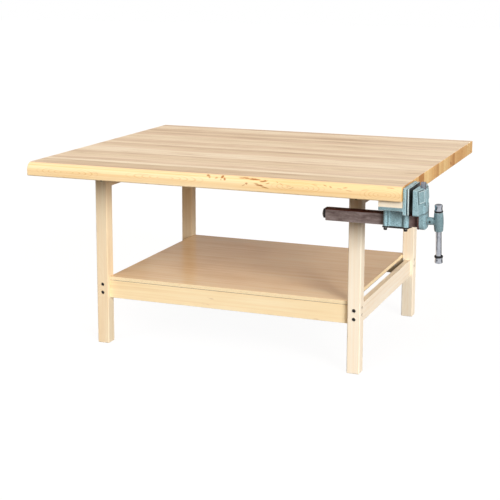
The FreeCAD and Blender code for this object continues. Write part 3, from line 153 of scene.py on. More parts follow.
class Value:
    """One shader value. Arithmetic on it adds Math nodes."""

    def __init__(self, finish, socket):
        self.finish = finish
        self.socket = socket

    __add__ = __radd__ = operator("ADD")
    __sub__ = operator("SUBTRACT")
    __rsub__ = operator("SUBTRACT", swapped=True)
    __mul__ = operator("MULTIPLY")
    __truediv__ = operator("DIVIDE")
    __pow__ = operator("POWER")
    __gt__ = operator("GREATER_THAN")
    __lt__ = operator("LESS_THAN")

    def math(self, operation, *others):
        return self.finish.math(operation, self, *others)

    def between(self, low, high):
        """0 below low, 1 above high, smooth in between."""
        return self.finish.node("MapRange", {"interpolation_type": "SMOOTHSTEP"},
                                {"Value": self, "From Min": low, "From Max": high})

    def blend(self, share, other):
        """This colour, taken towards another by a share."""
        return self.finish.mix(share, self, other)


class Finish:
    """A node material, or the world, and the short ways to add nodes to it."""

    def __init__(self, name, **constants):
        self.material = bpy.data.materials.new(name)
        self.material.use_nodes = True
        self.tree = self.material.node_tree
        self.shader = self.tree.nodes["Principled BSDF"]
        for socket, value in constants.items():
            self.shader.inputs[socket.replace("_", " ").title().replace("Ior", "IOR")].default_value = value

    @classmethod
    def of_tree(cls, tree):
        """The same short ways for a node tree that is already there."""
        finish = cls.__new__(cls)
        finish.tree = tree
        return finish

    def plug(self, socket, value):
        if isinstance(value, Value):
            self.tree.links.new(value.socket, socket)
        else:
            socket.default_value = value

    def node(self, kind, settings=None, sockets=None, output=0):
        """Add a node: its settings first, then the values or links of its sockets."""
        made = self.tree.nodes.new("ShaderNode" + kind)
        for key, value in (settings or {}).items():
            if key == "stops":
                fill_ramp(made.color_ramp, value)
            else:
                setattr(made, key, value)
        for key, value in (sockets or {}).items():
            self.plug(made.inputs[key], value)
        return Value(self, made.outputs[output])

    def math(self, operation, *terms):
        return self.node("Math", {"operation": operation}, dict(enumerate(terms)))

    def place(self):
        """Object coordinates, whole and as x, y and z."""
        whole = self.node("TexCoord", output="Object")
        return (whole, *self.parts(whole))

    def parts(self, vector):
        split = self.node("SeparateXYZ", None, {"Vector": vector})
        outputs = split.socket.node.outputs
        return [Value(self, outputs[i]) for i in range(3)]

    def vector(self, x, y, z):
        return self.node("CombineXYZ", None, {"X": x, "Y": y, "Z": z})

    def noise(self, vector, scale=1.0, detail=2.0, roughness=0.5, distortion=0.0):
        """Noise at a vector or at three coordinates."""
        place = vector if isinstance(vector, Value) else self.vector(*vector)
        return self.node("TexNoise", None, {"Vector": place, "Scale": scale, "Detail": detail,
                                            "Roughness": roughness, "Distortion": distortion})

    def drawn(self, vector, scale, offset=(0, 0, 0), **settings):
        """Noise drawn out along the axes."""
        mapped = self.node("Mapping", None, {"Vector": vector, "Scale": scale, "Location": offset})
        return self.noise(mapped, **settings)

    def ramp(self, value, stops):
        return self.node("ValToRGB", {"stops": stops}, {"Fac": value})

    def mix(self, share, first, second):
        """Colour between two, each a value, a linear colour or the three levels of a screen colour."""
        first, second = (tint(*colour) if isinstance(colour, tuple) and len(colour) == 3 else colour
                         for colour in (first, second))
        return self.node("Mix", {"data_type": "RGBA"}, {0: share, 6: first, 7: second}, output=2)

    def shade(self, colour, roughness, height, strength, distance):
        """Connect what varies over the surface."""
        self.plug(self.shader.inputs["Base Color"], colour)
        self.plug(self.shader.inputs["Roughness"], roughness)
        bump = self.node("Bump", None, {"Strength": strength, "Distance": distance, "Height": height})
        self.plug(self.shader.inputs["Normal"], bump)
        return self.material


def fill_ramp(ramp, stops):
    """Set a colour ramp's stops, each a position and a grey or a screen colour."""
    while len(ramp.elements) > 1:
        ramp.elements.remove(ramp.elements[0])
    for index, (position, colour) in enumerate(stops):
        element = ramp.elements[0] if index == 0 else ramp.elements.new(position)
        element.position = position
        element.color = tint(*colour) if isinstance(colour, tuple) else (colour, colour, colour, 1)


def tint(red, green, blue):
    """Linear colour of a screen colour."""
    linear = []
    for level in (red, green, blue):
        share = level / 255
        linear.append(share / 12.92 if share <= 0.04045 else ((share + 0.055) / 1.055) ** 2.4)
    return (*linear, 1)


# ---------- wood
def wood_figure(finish, along, across, depth, heart_across, heart_depth, seed):
    """Growth rings cut by a board's faces, and the streaks and fibres along it."""
    place = finish.vector(along, across, depth)
    shift = (seed * 3.1, seed * 1.7, seed * 0.9)
    drift = finish.drawn(place, (1.7, 7, 7), shift, detail=2.5)
    wave = finish.drawn(place, (9, 30, 30), shift)
    radius = ((across - heart_across) ** 2 + (depth - heart_depth) ** 2) ** 0.5
    radius = radius + (drift - 0.5) * (46 * MM) + (wave - 0.5) * (4 * MM)
    rings = finish.ramp((radius / RING_WIDTH).math("FRACT"),
                        [(0.0, 0.12), (0.5, 0.0), (0.82, 0.85), (0.93, 1.0), (1.0, 0.12)])
    streaks = finish.drawn(place, (1.1, 120, 120), shift, detail=3.5, roughness=0.62)
    fibres = finish.drawn(place, (14, 620, 620), shift)
    return rings, streaks, fibres


def maple(name, grain, seed, light, middle, dark, mineral):
    """A single maple board, with its grain along one axis."""
    chance = random.Random(seed)
    finish = Finish(name, roughness=BOARD_ROUGHNESS, specular_ior_level=0.35)
    _, x, y, z = finish.place()
    along, across, depth = {"X": (x, y, z), "Y": (y, x, z), "Z": (z, x, y)}[grain]
    heart_across = chance.uniform(-1.3, 1.3)
    heart_depth = chance.uniform(-1.2, 1.2)
    rings, streaks, fibres = wood_figure(finish, along, across, depth, heart_across, heart_depth, seed)
    place = finish.vector(along, across, depth)
    cloud = finish.drawn(place, (2.2, 16, 16), (seed, 2, 7), detail=3)
    colour = finish.ramp(streaks * 0.55 + cloud * 0.45, [(0.32, light), (0.52, middle), (0.78, dark)])
    colour = colour.blend(rings * 0.13, dark)
    colour = colour.blend(fibres.between(0.5, 0.8) * 0.16, dark)
    if mineral:
        patch = finish.drawn(place, (9, 60, 60), (seed, 0, 4), detail=3)
        colour = colour.blend(patch.between(0.7, 0.8) * mineral, (168, 112, 58))
    roughness = BOARD_ROUGHNESS + (fibres - 0.5) * 0.14 + rings * 0.05
    return finish.shade(colour, roughness, fibres * 0.7 + rings * 0.3, 0.12, 0.25 * MM)


# place, half length and half height of each mark in millimetres, then its lean and strength
FRONT_MARKS = (
    (-52, 819, 9, 3.5, 0.0, 0.8), (-44, 814, 5, 2.5, 0.0, 0.6), (-14, 813, 7, 2.2, 0.1, 0.6),
    (10, 818, 7, 4.0, 0.2, 0.9), (22, 811, 6, 3.0, -0.3, 0.8), (6, 808, 4, 1.6, 0.0, 0.5),
    (108, 819, 26, 1.8, -0.02, 0.8), (150, 817, 26, 2.2, -0.04, 0.9), (186, 812, 16, 2.4, 0.12, 0.9),
    (205, 806, 9, 1.5, 0.3, 0.6), (116, 800, 6, 3.2, 0.0, 0.75), (104, 792, 8, 1.3, 0.4, 0.5),
    (160, 801, 14, 1.6, -0.1, 0.6), (172, 796, 18, 2.3, -0.12, 0.85), (196, 789, 16, 2.0, -0.1, 0.75),
    (244, 812, 5, 1.2, -0.6, 0.5), (262, 806, 9, 1.2, -0.3, 0.5), (292, 801, 14, 1.1, -0.1, 0.45),
    (306, 794, 12, 1.1, 0.3, 0.4), (398, 812, 12, 1.0, -0.1, 0.4), (440, 812, 9, 1.4, -0.2, 0.6),
    (462, 808, 6, 1.8, -0.3, 0.6), (500, 804, 12, 1.1, -0.1, 0.45), (521, 809, 10, 1.3, 0.1, 0.55),
    (537, 799, 14, 1.2, -0.1, 0.5), (600, 806, 16, 1.0, 0.1, 0.4), (697, 818, 16, 1.2, -0.05, 0.5),
    (-560, 800, 30, 1.2, 0.0, 0.25), (-330, 806, 36, 1.2, 0.02, 0.25),
)


def front_marks(x, z, warp):
    """Dark mineral flecks and curls in the front board."""
    total = 0.0
    for centre_x, centre_z, half_length, half_height, lean, strength in FRONT_MARKS:
        run = x - centre_x * MM
        spread = (run / (half_length * MM) + warp * 0.25) ** 2
        rise = ((z - centre_z * MM - run * lean) / (half_height * MARK_HEIGHT_SCALE * MM) + warp) ** 2
        total = ((1 - (spread + rise).between(0.1, 1.5)) * strength).math("MAXIMUM", total)
    return total


def front_cathedrals(x, z, warp):
    """Nested arches of the flat-sawn front board: centre, half length and half height of each set."""
    sets = ((668, 792, 96, 30), (330, 798, 120, 26), (-240, 800, 190, 24), (-690, 794, 160, 26))
    total = 0.0
    for centre_x, centre_z, half_length, half_height in sets:
        spread = ((x - centre_x * MM) / (half_length * MM)) ** 2
        rise = ((z - centre_z * MM) / (half_height * MM)) ** 2
        reach = (spread + rise) ** 0.5 + warp * 0.05
        lines = ((reach * 5.5).math("FRACT") - 0.5).math("ABSOLUTE") * 2
        arches = lines.between(0.62, 0.95) * (1 - reach.between(0.75, 1.05))
        total = arches.math("MAXIMUM", total)
    return total


def laminated_top():
    """Glued-up maple strips: pinkish on the flat, yellower on the rounded edge, golden end grain."""
    low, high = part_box("bench_top")
    finish = Finish("maple_top_finish", roughness=0.4, specular_ior_level=0.3)
    _, x, y, z = finish.place()
    count = (y - low.y) / STRIP_WIDTH
    index = count.math("FLOOR")
    within = count.math("FRACT")
    chances = finish.node("TexWhiteNoise", {"noise_dimensions": "1D"}, {"W": index + 0.37}, output="Color")
    first, second, third = finish.parts(chances)
    heart_y = (index + first * 2.2 - 0.6) * STRIP_WIDTH + low.y
    heart_z = second * 0.3 + (low.z - 0.12)
    along = x + third * 9.0
    rings, streaks, fibres = wood_figure(finish, along, y, z, heart_y, heart_z, 5.0)
    fine = finish.noise((along * 3.2, y * 44, second), detail=4, roughness=0.6)
    broad = finish.noise((x * 1.6, y * 5.5, 0.0))
    tone = first * 0.26 + fine * 0.46 + streaks * 0.1 + broad * 0.18

    flat = finish.ramp(tone, [(0.32, (253, 243, 217)), (0.43, (245, 230, 202)), (0.54, (231, 211, 181)),
                              (0.7, (196, 170, 140))])
    flat = flat.blend(x.between(0.1, 0.7) * 0.3, (252, 240, 216))
    rosy = third.between(0.5, 0.8) * 0.2
    flat = flat.blend(rosy, finish.mix(tone, (246, 216, 190), (204, 168, 142)))
    pale = second.between(0.62, 0.8) * 0.4
    flat = flat.blend(pale, finish.mix(fine, (244, 232, 200), (216, 196, 158)))
    cut = finish.noise((along * 3.4, y * 95, 8.0), detail=1).between(0.6, 0.68)
    cut = cut * finish.noise((along * 2.8, index, 3.0)).between(0.42, 0.58)
    flat = flat.blend(cut * 0.6, (170, 134, 102))
    flat = flat.blend(rings * 0.14, (184, 150, 112))

    warp = finish.noise((x * 46, z * 80, 3.0), detail=2.5, roughness=0.6) * 2.6 - 1.3
    wander = finish.noise((x * 9, z * 22, 1.0)) * 2 - 1
    edge = finish.ramp(streaks * 0.7 + broad * 0.3, [(0.3, (254, 234, 196)), (0.5, (250, 224, 176)),
                                                     (0.7, (240, 203, 143))])
    edge = edge.blend(x.between(-0.3, 0.75) * 0.35, (246, 206, 138))
    edge = edge.blend(front_cathedrals(x, z, wander) * 0.38, (220, 172, 104))
    edge = edge.blend(front_marks(x, z, warp), (164, 100, 34))
    ends = finish.ramp(second * 0.7 + streaks * 0.3,
                       [(0.2, (255, 226, 162)), (0.5, (240, 198, 134)), (0.8, (190, 136, 80))])
    slant = (y + (z - low.z) * (second * 1.2 - 0.6)) * 230 + first * 3
    growth = ((slant.math("FRACT") - 0.5).math("ABSOLUTE") * 2).between(0.5, 0.95)
    ends = ends.blend(growth * 0.42, (186, 128, 72))
    ends = ends.blend(y.between(low.y + 0.1, high.y) * 0.5, (196, 146, 92))

    from_front = y.between(low.y + ROUND_TINT_REACH - 4 * MM, low.y + ROUND_TINT_REACH + 5 * MM)
    colour = edge.blend(from_front, flat)
    joint = (0.5 - (within - 0.5).math("ABSOLUTE")) * STRIP_WIDTH
    line = (1 - joint.between(0.15 * MM, 0.55 * MM)) * from_front * (y < high.y - 2 * MM)
    beside_joint = 1 - (within * STRIP_WIDTH).between(0.5 * MM, 3.4 * MM)
    bold = ((index - BOLD_JOINT).math("ABSOLUTE") < 0.5) * beside_joint
    fade = finish.noise((x * 2.4, 0.0, 1.0)).between(0.3, 0.55)
    seam = (line * 0.5).math("MAXIMUM", bold * (fade * 0.35 + 0.35))
    colour = colour.blend(seam, (150, 112, 78))
    end_face = (x < low.x + END_GRAIN_DEPTH).math("MAXIMUM", x > high.x - END_GRAIN_DEPTH)
    colour = colour.blend(end_face, ends.blend(line * 0.8, (140, 90, 48)))
    knot_run = (y - KNOT_Y) / (9 * MM) + (z - KNOT_Z) / (12 * MM)
    knot_rise = (z - KNOT_Z) / (9 * MM)
    knot = (1 - (knot_run ** 2 + knot_rise ** 2).between(0.3, 1.4)) * (x > high.x - END_GRAIN_DEPTH)
    colour = colour.blend(knot * 0.85, (150, 74, 34))
    roughness = (fibres - 0.5) * 0.12 + 0.42 + end_face * 0.15
    return finish.shade(colour, roughness, fibres * 0.6 + rings * 0.2 - seam * 0.6, 0.12, 0.3 * MM)


def shelf_board():
    """Tan-faced plywood: a smooth lacquered face over pale plies."""
    low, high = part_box("shelf_panel")
    finish = Finish("shelf_board_finish", roughness=0.2, specular_ior_level=0.45)
    _, x, y, z = finish.place()
    rings, streaks, fibres = wood_figure(finish, x, y * 0.35, z * 0.2, 0.9, 0.1, 11.0)
    broad = finish.noise((x * 2.2, y * 4.5, 2.0), detail=3, roughness=0.55)
    face = finish.ramp(streaks * 0.45 + broad * 0.55,
                       [(0.3, (255, 232, 192)), (0.5, (252, 220, 176)), (0.7, (236, 196, 150))])
    face = face.blend(rings * 0.1, (160, 122, 88))
    ply = (z - low.z) / ((high.z - low.z) / PLY_COUNT)
    turned = (ply * 0.5).math("FRACT") < 0.5
    core = finish.mix(turned, (255, 242, 206), (248, 226, 182))
    specks = finish.noise((x * 90, y * 90, z * 900))
    core = core.blend(specks.between(0.5, 0.75) * 0.4, (212, 172, 112))
    glue = 1 - (0.5 - (ply.math("FRACT") - 0.5).math("ABSOLUTE")).between(0.02, 0.1)
    core = core.blend(glue * 0.45, (170, 124, 74))
    on_face = (z > high.z - 0.6 * MM).math("MAXIMUM", z < low.z + 0.6 * MM)
    colour = core.blend(on_face, face)
    colour = colour.blend((z < low.z + 2.2 * MM) * 0.75, (112, 74, 44))
    roughness = (fibres - 0.5) * 0.08 + 0.2 + (1 - on_face) * 0.35
    return finish.shade(colour, roughness, fibres * 0.5 + rings * 0.2, 0.06, 0.2 * MM)


# ---------- metal, enamel, rubber
def panel_edges(x, y, z):
    """Painted shade in a groove round each raised jaw panel and beside the keel, and a painted highlight on
    the panels' bevels.
    """
    low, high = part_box("front_jaw")
    centre = (low.y + high.y) / 2
    jaw_low = high.z - JAW_HEIGHT
    away = (y - centre).math("ABSOLUTE")
    inner = KEEL_HALF_WIDTH + PANEL_KEEL_INSET
    outer = high.y - centre - PANEL_END_INSET
    across = (away - inner).math("MINIMUM", outer - away)
    upright = (z - jaw_low - PANEL_RISE).math("MINIMUM", high.z - PANEL_TOP_INSET - z)
    inside = across.math("MINIMUM", upright)
    on_front = x.between(low.x + JAW_END_THICKNESS - 3 * MM, low.x + JAW_END_THICKNESS)
    # Painted shade in the groove round each panel, and a painted highlight on its bevel.
    groove = inside.between(-PANEL_GROOVE, -PANEL_GROOVE * 0.5) * (1 - inside.between(-0.4 * MM, 0.5 * MM))
    bevel = inside.between(0.0, 0.8 * MM) * (1 - inside.between(PANEL_BEVEL - MM, PANEL_BEVEL))
    # Painted shade beside the keel.
    keel_side = away.between(KEEL_HALF_WIDTH - MM, KEEL_HALF_WIDTH) * (away < KEEL_HALF_WIDTH + 2.4 * MM)
    keel_side = keel_side * (z > jaw_low + KEEL_RISE)
    return groove.math("MAXIMUM", keel_side) * on_front, bevel * on_front


def hammered_enamel(name, depth=1.0, jaw=False):
    """Blue-grey hammered enamel: dimples and fine flake; pale edges, partly wear and partly a painted
    highlight; painted shade in corners, creases, round the set-screw hole and on the flange under the top;
    near-black painted shade on the faces round the jaw gap.
    """
    jaw_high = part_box("vise_body")[1]
    plate_low, plate_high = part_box("pivot_jaw_plate")
    front_low, front_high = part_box("front_jaw")
    spacer_low, spacer_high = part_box("vise_spacer_block")
    finish = Finish(name, metallic=0.12, roughness=0.4, specular_ior_level=0.35,
                    coat_weight=0.12, coat_roughness=0.14)
    place, x, y, z = finish.place()
    bent = finish.noise(place, scale=160)
    cells = finish.node("TexVoronoi", {"feature": "SMOOTH_F1"},
                        {"Vector": finish.vector(x + bent * 1.2 * MM, y - bent * 1.2 * MM, z), "Scale": 390.0,
                         "Smoothness": 0.7}, output="Distance")
    flake = finish.noise(place, scale=2600, detail=1)
    cloud = finish.noise(place, scale=28, detail=3)
    tones = [(198, 230, 238), (168, 206, 216), (120, 157, 168)]
    stops = [(at, tuple(level * depth for level in tone)) for at, tone in zip((0.1, 0.42, 0.75), tones)]
    colour = finish.ramp(cells, stops)
    colour = colour.blend(cloud.between(0.35, 0.7) * 0.25, (134 * depth, 174 * depth, 182 * depth))
    colour = colour.blend(flake.between(0.6, 0.75) * 0.25, (204, 228, 232))
    # Painted shade: ambient occlusion darkens the enamel in corners and creases.
    corner = finish.node("AmbientOcclusion", {"samples": 6, "only_local": True}, {"Distance": 10 * MM},
                         output="AO")
    colour = colour.blend((1 - corner.between(0.3, 0.82)) * 0.8, (38, 50, 56))
    # Pointiness: sharp edges turn paler, partly wear and partly a painted highlight; hollows turn darker, a
    # painted shade.
    bend = finish.node("NewGeometry", output="Pointiness")
    colour = colour.blend(bend.between(0.51, 0.55) * 0.75, (222, 238, 240))
    colour = colour.blend((1 - bend.between(0.44, 0.49)) * 0.85, (34, 44, 48))
    # Painted shade: the flange, under the bench top, is made darker.
    flange = (x < spacer_high.x - MM) * (z > spacer_low.z - FLANGE_THICKNESS - MM)
    colour = colour.blend(flange * 0.42, (84, 104, 108))
    # Painted shade in and round the mouth of the set-screw hole.
    hole_low, hole_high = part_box("hub_set_screw")
    hole_run = x - (hole_low.x + hole_high.x) / 2
    hole_rise = z - (hole_low.z + hole_high.z) / 2
    hole_shade = 1 - ((hole_run ** 2 + hole_rise ** 2) ** 0.5).between(3.2 * MM, 4.8 * MM)
    colour = colour.blend(hole_shade * (y < hole_low.y + 2 * MM) * 0.9, (26, 30, 32))
    if jaw:
        # Painted highlight on the panel bevels, painted shade in the grooves.
        groove, bevel = panel_edges(x, y, z)
        colour = colour.blend(bevel * 0.75, (214, 236, 240))
        colour = colour.blend(groove * 0.85, (44, 58, 62))
        # Painted shade along the underside edge of the jaw, where it meets the boss.
        step = front_high.z - JAW_HEIGHT
        foot = 1 - z.between(step + MM, step + 5 * MM)
        foot = foot * z.between(step - 6 * MM, step - 2 * MM)
        colour = colour.blend(foot * 0.6, (44, 58, 62))
    # Painted shade: near-black bands on the faces round the jaw gap, between rear jaw and pivot plate, and
    # beside the end of the top.
    gap = 1.3 * MM
    black = (x > plate_high.x - gap) * (x < front_low.x + gap)
    black = black.math("MAXIMUM", (x > jaw_high.x - gap) * (x < plate_low.x + 6 * MM) * (z > spacer_high.z))
    black = black.math("MAXIMUM", (x < spacer_high.x + 2.4 * MM) * (z > spacer_low.z))
    black = black * (z > spacer_low.z - 30 * MM)
    colour = colour.blend(black * 0.93, (22, 24, 26))
    roughness = (cloud - 0.5) * 0.16 + 0.4
    return finish.shade(colour, roughness, 1 - cells + bent * 0.35, 0.45, 0.45 * MM)


def oxidised_steel():
    """Hot-rolled steel: grey-brown scale on the sides, a redder film on the upper face, and a dark band."""
    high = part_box("slide_bar")[1]
    finish = Finish("oxidised_steel_finish", metallic=0.1, roughness=0.55, specular_ior_level=0.2)
    place, x, _, z = finish.place()
    scale = finish.drawn(place, (18, 60, 60), detail=4, roughness=0.65)
    rub = finish.drawn(place, (4, 300, 300))
    pits = finish.noise(place, scale=520)
    side = finish.ramp(scale, [(0.3, (96, 80, 78)), (0.5, (134, 120, 117)), (0.72, (168, 156, 154))])
    upper = finish.ramp(scale, [(0.3, (52, 14, 6)), (0.55, (78, 26, 14)), (0.75, (104, 52, 34))])
    colour = side.blend(z > high.z - 2.4 * MM, upper)
    colour = colour.blend(rub.between(0.55, 0.75) * 0.25, (176, 160, 154))
    colour = colour.blend(pits.between(0.62, 0.74) * 0.45, (70, 40, 32))
    # Darker band near the bar's front end.
    end_band = (x + (scale - 0.5) * 30 * MM).between(high.x - 46 * MM, high.x - 6 * MM)
    colour = colour.blend(end_band * 0.75, (78, 40, 32))
    roughness = (scale - 0.5) * 0.3 + 0.55 + pits.between(0.6, 0.75) * 0.2
    return finish.shade(colour, roughness, scale * 0.6 - pits.between(0.6, 0.75) * 0.4, 0.3, 0.4 * MM)


def bare_metal(name, colour, dull, worn, lines, line_scale, smooth, metallic=1.0):
    """Machined or plated metal with tool lines, stains and fine scratches."""
    finish = Finish(name, metallic=metallic, roughness=smooth)
    place = finish.place()[0]
    turning = finish.drawn(place, line_scale)
    stain = finish.noise(place, scale=55, detail=4, roughness=0.6)
    scratch = finish.drawn(place, (700, 90, 260), detail=1, distortion=0.6)
    shade = finish.mix(stain.between(0.42, 0.72), colour, dull)
    shade = shade.blend(scratch.between(0.66, 0.74) * 0.35, worn)
    roughness = (turning - 0.5) * lines + smooth + stain.between(0.5, 0.75) * 0.12
    return finish.shade(shade, roughness, turning * lines + scratch * 0.1, 0.15, 0.12 * MM)


def soft_rubber():
    """Black rubber with a fine matt grain and a little dust."""
    finish = Finish("soft_rubber", roughness=0.7)
    place = finish.place()[0]
    dust = finish.noise(place, scale=140, detail=4)
    grain = finish.noise(place, scale=1800)
    colour = finish.mix(dust.between(0.5, 0.8) * 0.5, (20, 20, 21), (60, 58, 56))
    return finish.shade(colour, (grain - 0.5) * 0.2 + 0.68, grain, 0.25, 0.15 * MM)


def white_nylon():
    """Milky nylon with a slight mottle."""
    finish = Finish("white_nylon", roughness=0.45)
    place = finish.place()[0]
    mottle = finish.noise(place, scale=240, detail=3)
    colour = finish.mix(mottle, (232, 230, 222), (212, 208, 196))
    return finish.shade(colour, (mottle - 0.5) * 0.2 + 0.45, mottle, 0.15, 0.1 * MM)


# ---------- mesh tools
def leave_edit():
    """Go back to object mode with nothing selected."""
    if bpy.context.object is not None and bpy.context.object.mode != "OBJECT":
        bpy.ops.object.mode_set(mode="OBJECT")
    bpy.ops.object.select_all(action="DESELECT")


def make_active(piece):
    """Select one piece alone."""
    leave_edit()
    piece.select_set(True)
    bpy.context.view_layer.objects.active = piece


def block(name, x0, x1, y0, y1, z0, z1):
    """Box between two corners, with its place in its mesh."""
    leave_edit()
    bpy.ops.mesh.primitive_cube_add(size=1, location=((x0 + x1) / 2, (y0 + y1) / 2, (z0 + z1) / 2))
    piece = bpy.context.object
    piece.name = name
    piece.scale = (x1 - x0, y1 - y0, z1 - z0)
    bpy.ops.object.transform_apply(location=True, rotation=True, scale=True)
    return piece


def round_bar(name, radius, start, axis, length, sides=64, tip_radius=None):
    """Straight or tapered cylinder from a start point along an axis."""
    leave_edit()
    middle = Vector(start) + AXES[axis] * (length / 2)
    turn = AXES[axis].to_track_quat("Z", "Y").to_euler()
    far = radius if tip_radius is None else tip_radius
    bpy.ops.mesh.primitive_cone_add(vertices=sides, radius1=radius, radius2=far, depth=length,
                                    location=middle, rotation=turn)
    piece = bpy.context.object
    piece.name = name
    bpy.ops.object.transform_apply(location=True, rotation=True, scale=True)
    return piece


def pick(piece, test, part="VERT"):
    """Enter edit mode with the vertices, edges or faces selected whose middle passes a test."""
    make_active(piece)
    mesh = piece.data
    for element in (*mesh.vertices, *mesh.edges, *mesh.polygons):
        element.select = False
    points = [vertex.co for vertex in mesh.vertices]
    if part == "VERT":
        for vertex in mesh.vertices:
            vertex.select = bool(test(vertex.co))
    if part == "EDGE":
        for edge in mesh.edges:
            edge.select = bool(test((points[edge.vertices[0]] + points[edge.vertices[1]]) / 2,
                                    (points[edge.vertices[1]] - points[edge.vertices[0]]).normalized()))
    if part == "FACE":
        for face in mesh.polygons:
            face.select = bool(test(face.center, face.normal))
    bpy.ops.object.mode_set(mode="EDIT")
    bpy.ops.mesh.select_mode(type=part)


def shift(piece, test, offset):
    """Move the vertices that pass a test."""
    pick(piece, test)
    bpy.ops.transform.translate(value=offset)
    leave_edit()


def slice_off(piece, point, normal, clear=False):
    """Cut a piece with a plane; clear takes away the side that the normal points to."""
    pick(piece, lambda co: True)
    bpy.ops.mesh.bisect(plane_co=point, plane_no=normal, use_fill=clear, clear_outer=clear)
    leave_edit()


def bevel_edges(piece, test, width, segments):
    """Round the edges that pass a test."""
    pick(piece, test, "EDGE")
    bpy.ops.mesh.bevel(offset=width, segments=segments, affect="EDGES")
    leave_edit()


def widen(piece, height, share, centre, reach):
    """Scale the ring of vertices at a height about a centre."""
    pick(piece, lambda co: abs(co.z - height) < reach)
    bpy.ops.transform.resize(value=(share, share, 1), center_override=(*centre, height))
    leave_edit()


def modify(piece, kind, **settings):
    """Add a modifier and apply it."""
    make_active(piece)
    modifier = piece.modifiers.new(kind.title(), kind)
    for key, value in settings.items():
        setattr(modifier, key, value)
    bpy.ops.object.modifier_apply(modifier=modifier.name)


def soften(piece, width, segments, angle=30):
    """Round the edges sharper than an angle."""
    modify(piece, "BEVEL", width=width, segments=segments, limit_method="ANGLE",
           angle_limit=math.radians(angle))
    smooth(piece)


def smooth(piece, angle=35):
    """Smooth shading, kept sharp at edges over an angle."""
    make_active(piece)
    bpy.ops.object.shade_smooth_by_angle(angle=math.radians(angle))


def gather(name, pieces):
    """Join pieces into one object."""
    leave_edit()
    for piece in pieces:
        piece.select_set(True)
    bpy.context.view_layer.objects.active = pieces[0]
    bpy.ops.object.join()
    joined = bpy.context.object
    joined.name = name
    return joined


def cast(piece, grain, rounds):
    """Melt overlapping shapes into one casting with soft edges and filled corners."""
    modify(piece, "REMESH", mode="VOXEL", voxel_size=grain)
    modify(piece, "SMOOTH", factor=0.5, iterations=rounds)
    make_active(piece)
    bpy.ops.object.shade_smooth()
    return piece


def bore(piece, cutters):
    """Machine cutters out of a piece."""
    for cutter in cutters:
        modify(piece, "BOOLEAN", operation="DIFFERENCE", solver="EXACT", object=cutter)
        bpy.data.objects.remove(cutter)


def finish_piece(piece, material, body, slot, *nodes):
    """Give a new piece its finish and its body, and hide the imported nodes that it takes the place of."""
    piece.data.materials.clear()
    piece.data.materials.append(material)
    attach(piece, body)
    if nodes:
        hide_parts(*nodes)
    return piece


# ---------- vise pieces
def build_vise_body(enamel):
    """Fixed casting: flange, rear jaw and the tunnel with its ribbed columns."""
    low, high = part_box("vise_body")
    spacer_low, spacer_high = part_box("vise_spacer_block")
    bar_low, bar_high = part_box("slide_bar")
    top_end = spacer_high.x
    centre = (low.y + high.y) / 2
    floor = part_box("keeper_plate")[1].z
    flange_top = spacer_low.z
    flange_low = flange_top - FLANGE_THICKNESS
    jaw_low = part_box("front_jaw")[1].z - JAW_HEIGHT
    wall = (bar_high.y - bar_low.y) / 2 + TUNNEL_WALL
    back = low.x + TUNNEL_INSET
    ease = 2 * MM
    column_top = flange_top - ease
    parts = [block("flange", low.x, high.x - ease, low.y, high.y, flange_low, flange_top),
             block("rear_jaw", top_end, high.x, low.y, high.y, jaw_low, high.z),
             block("tunnel", back, high.x - ease, centre - wall, centre + wall, floor, column_top)]
    ribs = ((back + 9 * MM, 9 * MM, wall), (back + 22.5 * MM, 5.5 * MM, wall),
            (high.x - 12 * MM, 12 * MM, wall - 1.3 * MM))
    for side in (-1, 1):
        for x, radius, reach in ribs:
            parts.append(round_bar("rib", radius, (x, centre + side * reach, floor), "Z", column_top - floor))
    body = cast(gather("vise_casting", parts), BODY_GRAIN, 3)
    clear = 0.3 * MM
    cutters = [block("bar_way", low.x - ease, high.x + ease, bar_low.y - clear, bar_high.y + clear,
                     floor - ease, bar_high.z + clear),
               round_bar("rib_socket", 4.55 * MM, (high.x - 3.2 * MM, centre, jaw_low + 6.5 * MM), "Z", 0.1)]
    screw_x = low.x + 18 * MM
    for side in (-1, 1):
        lag_y = centre + side * LAG_HOLE_OFFSET
        for name, x in (("lag_hole", top_end - 23 * MM), ("screw_hole", screw_x)):
            cutters.append(round_bar(name, LAG_HOLE_RADIUS, (x, lag_y, flange_low - ease), "Z", 16 * MM))
        cutters.append(round_bar("countersink", 9.2 * MM, (screw_x, lag_y, flange_low - 0.6 * MM), "Z",
                                 5 * MM, tip_radius=LAG_HOLE_RADIUS))
        face_place = (centre + side * FACE_HOLE_OFFSET, high.z - 24 * MM)
        cutters.append(round_bar("face_hole", FACE_HOLE_RADIUS, (top_end - ease, *face_place), "X", 20 * MM))
        cutters.append(round_bar("face_sink", FACE_HOLE_RADIUS, (high.x - 3.2 * MM, *face_place), "X",
                                 3.6 * MM, tip_radius=6.6 * MM))
    bore(body, cutters)
    return finish_piece(body, enamel, "bench", "enamelled_casting", "vise_body")


def leaning_block(name, x0, x1, y0, y1, z0, z1, lean):
    """Box whose front leans back as it rises."""
    piece = block(name, x0, x1, y0, y1, z0, z1)
    middle = (z0 + z1) / 2
    shift(piece, lambda co: co.x > (x0 + x1) / 2 and co.z > middle, (-lean * (z1 - z0), 0, 0))
    return piece


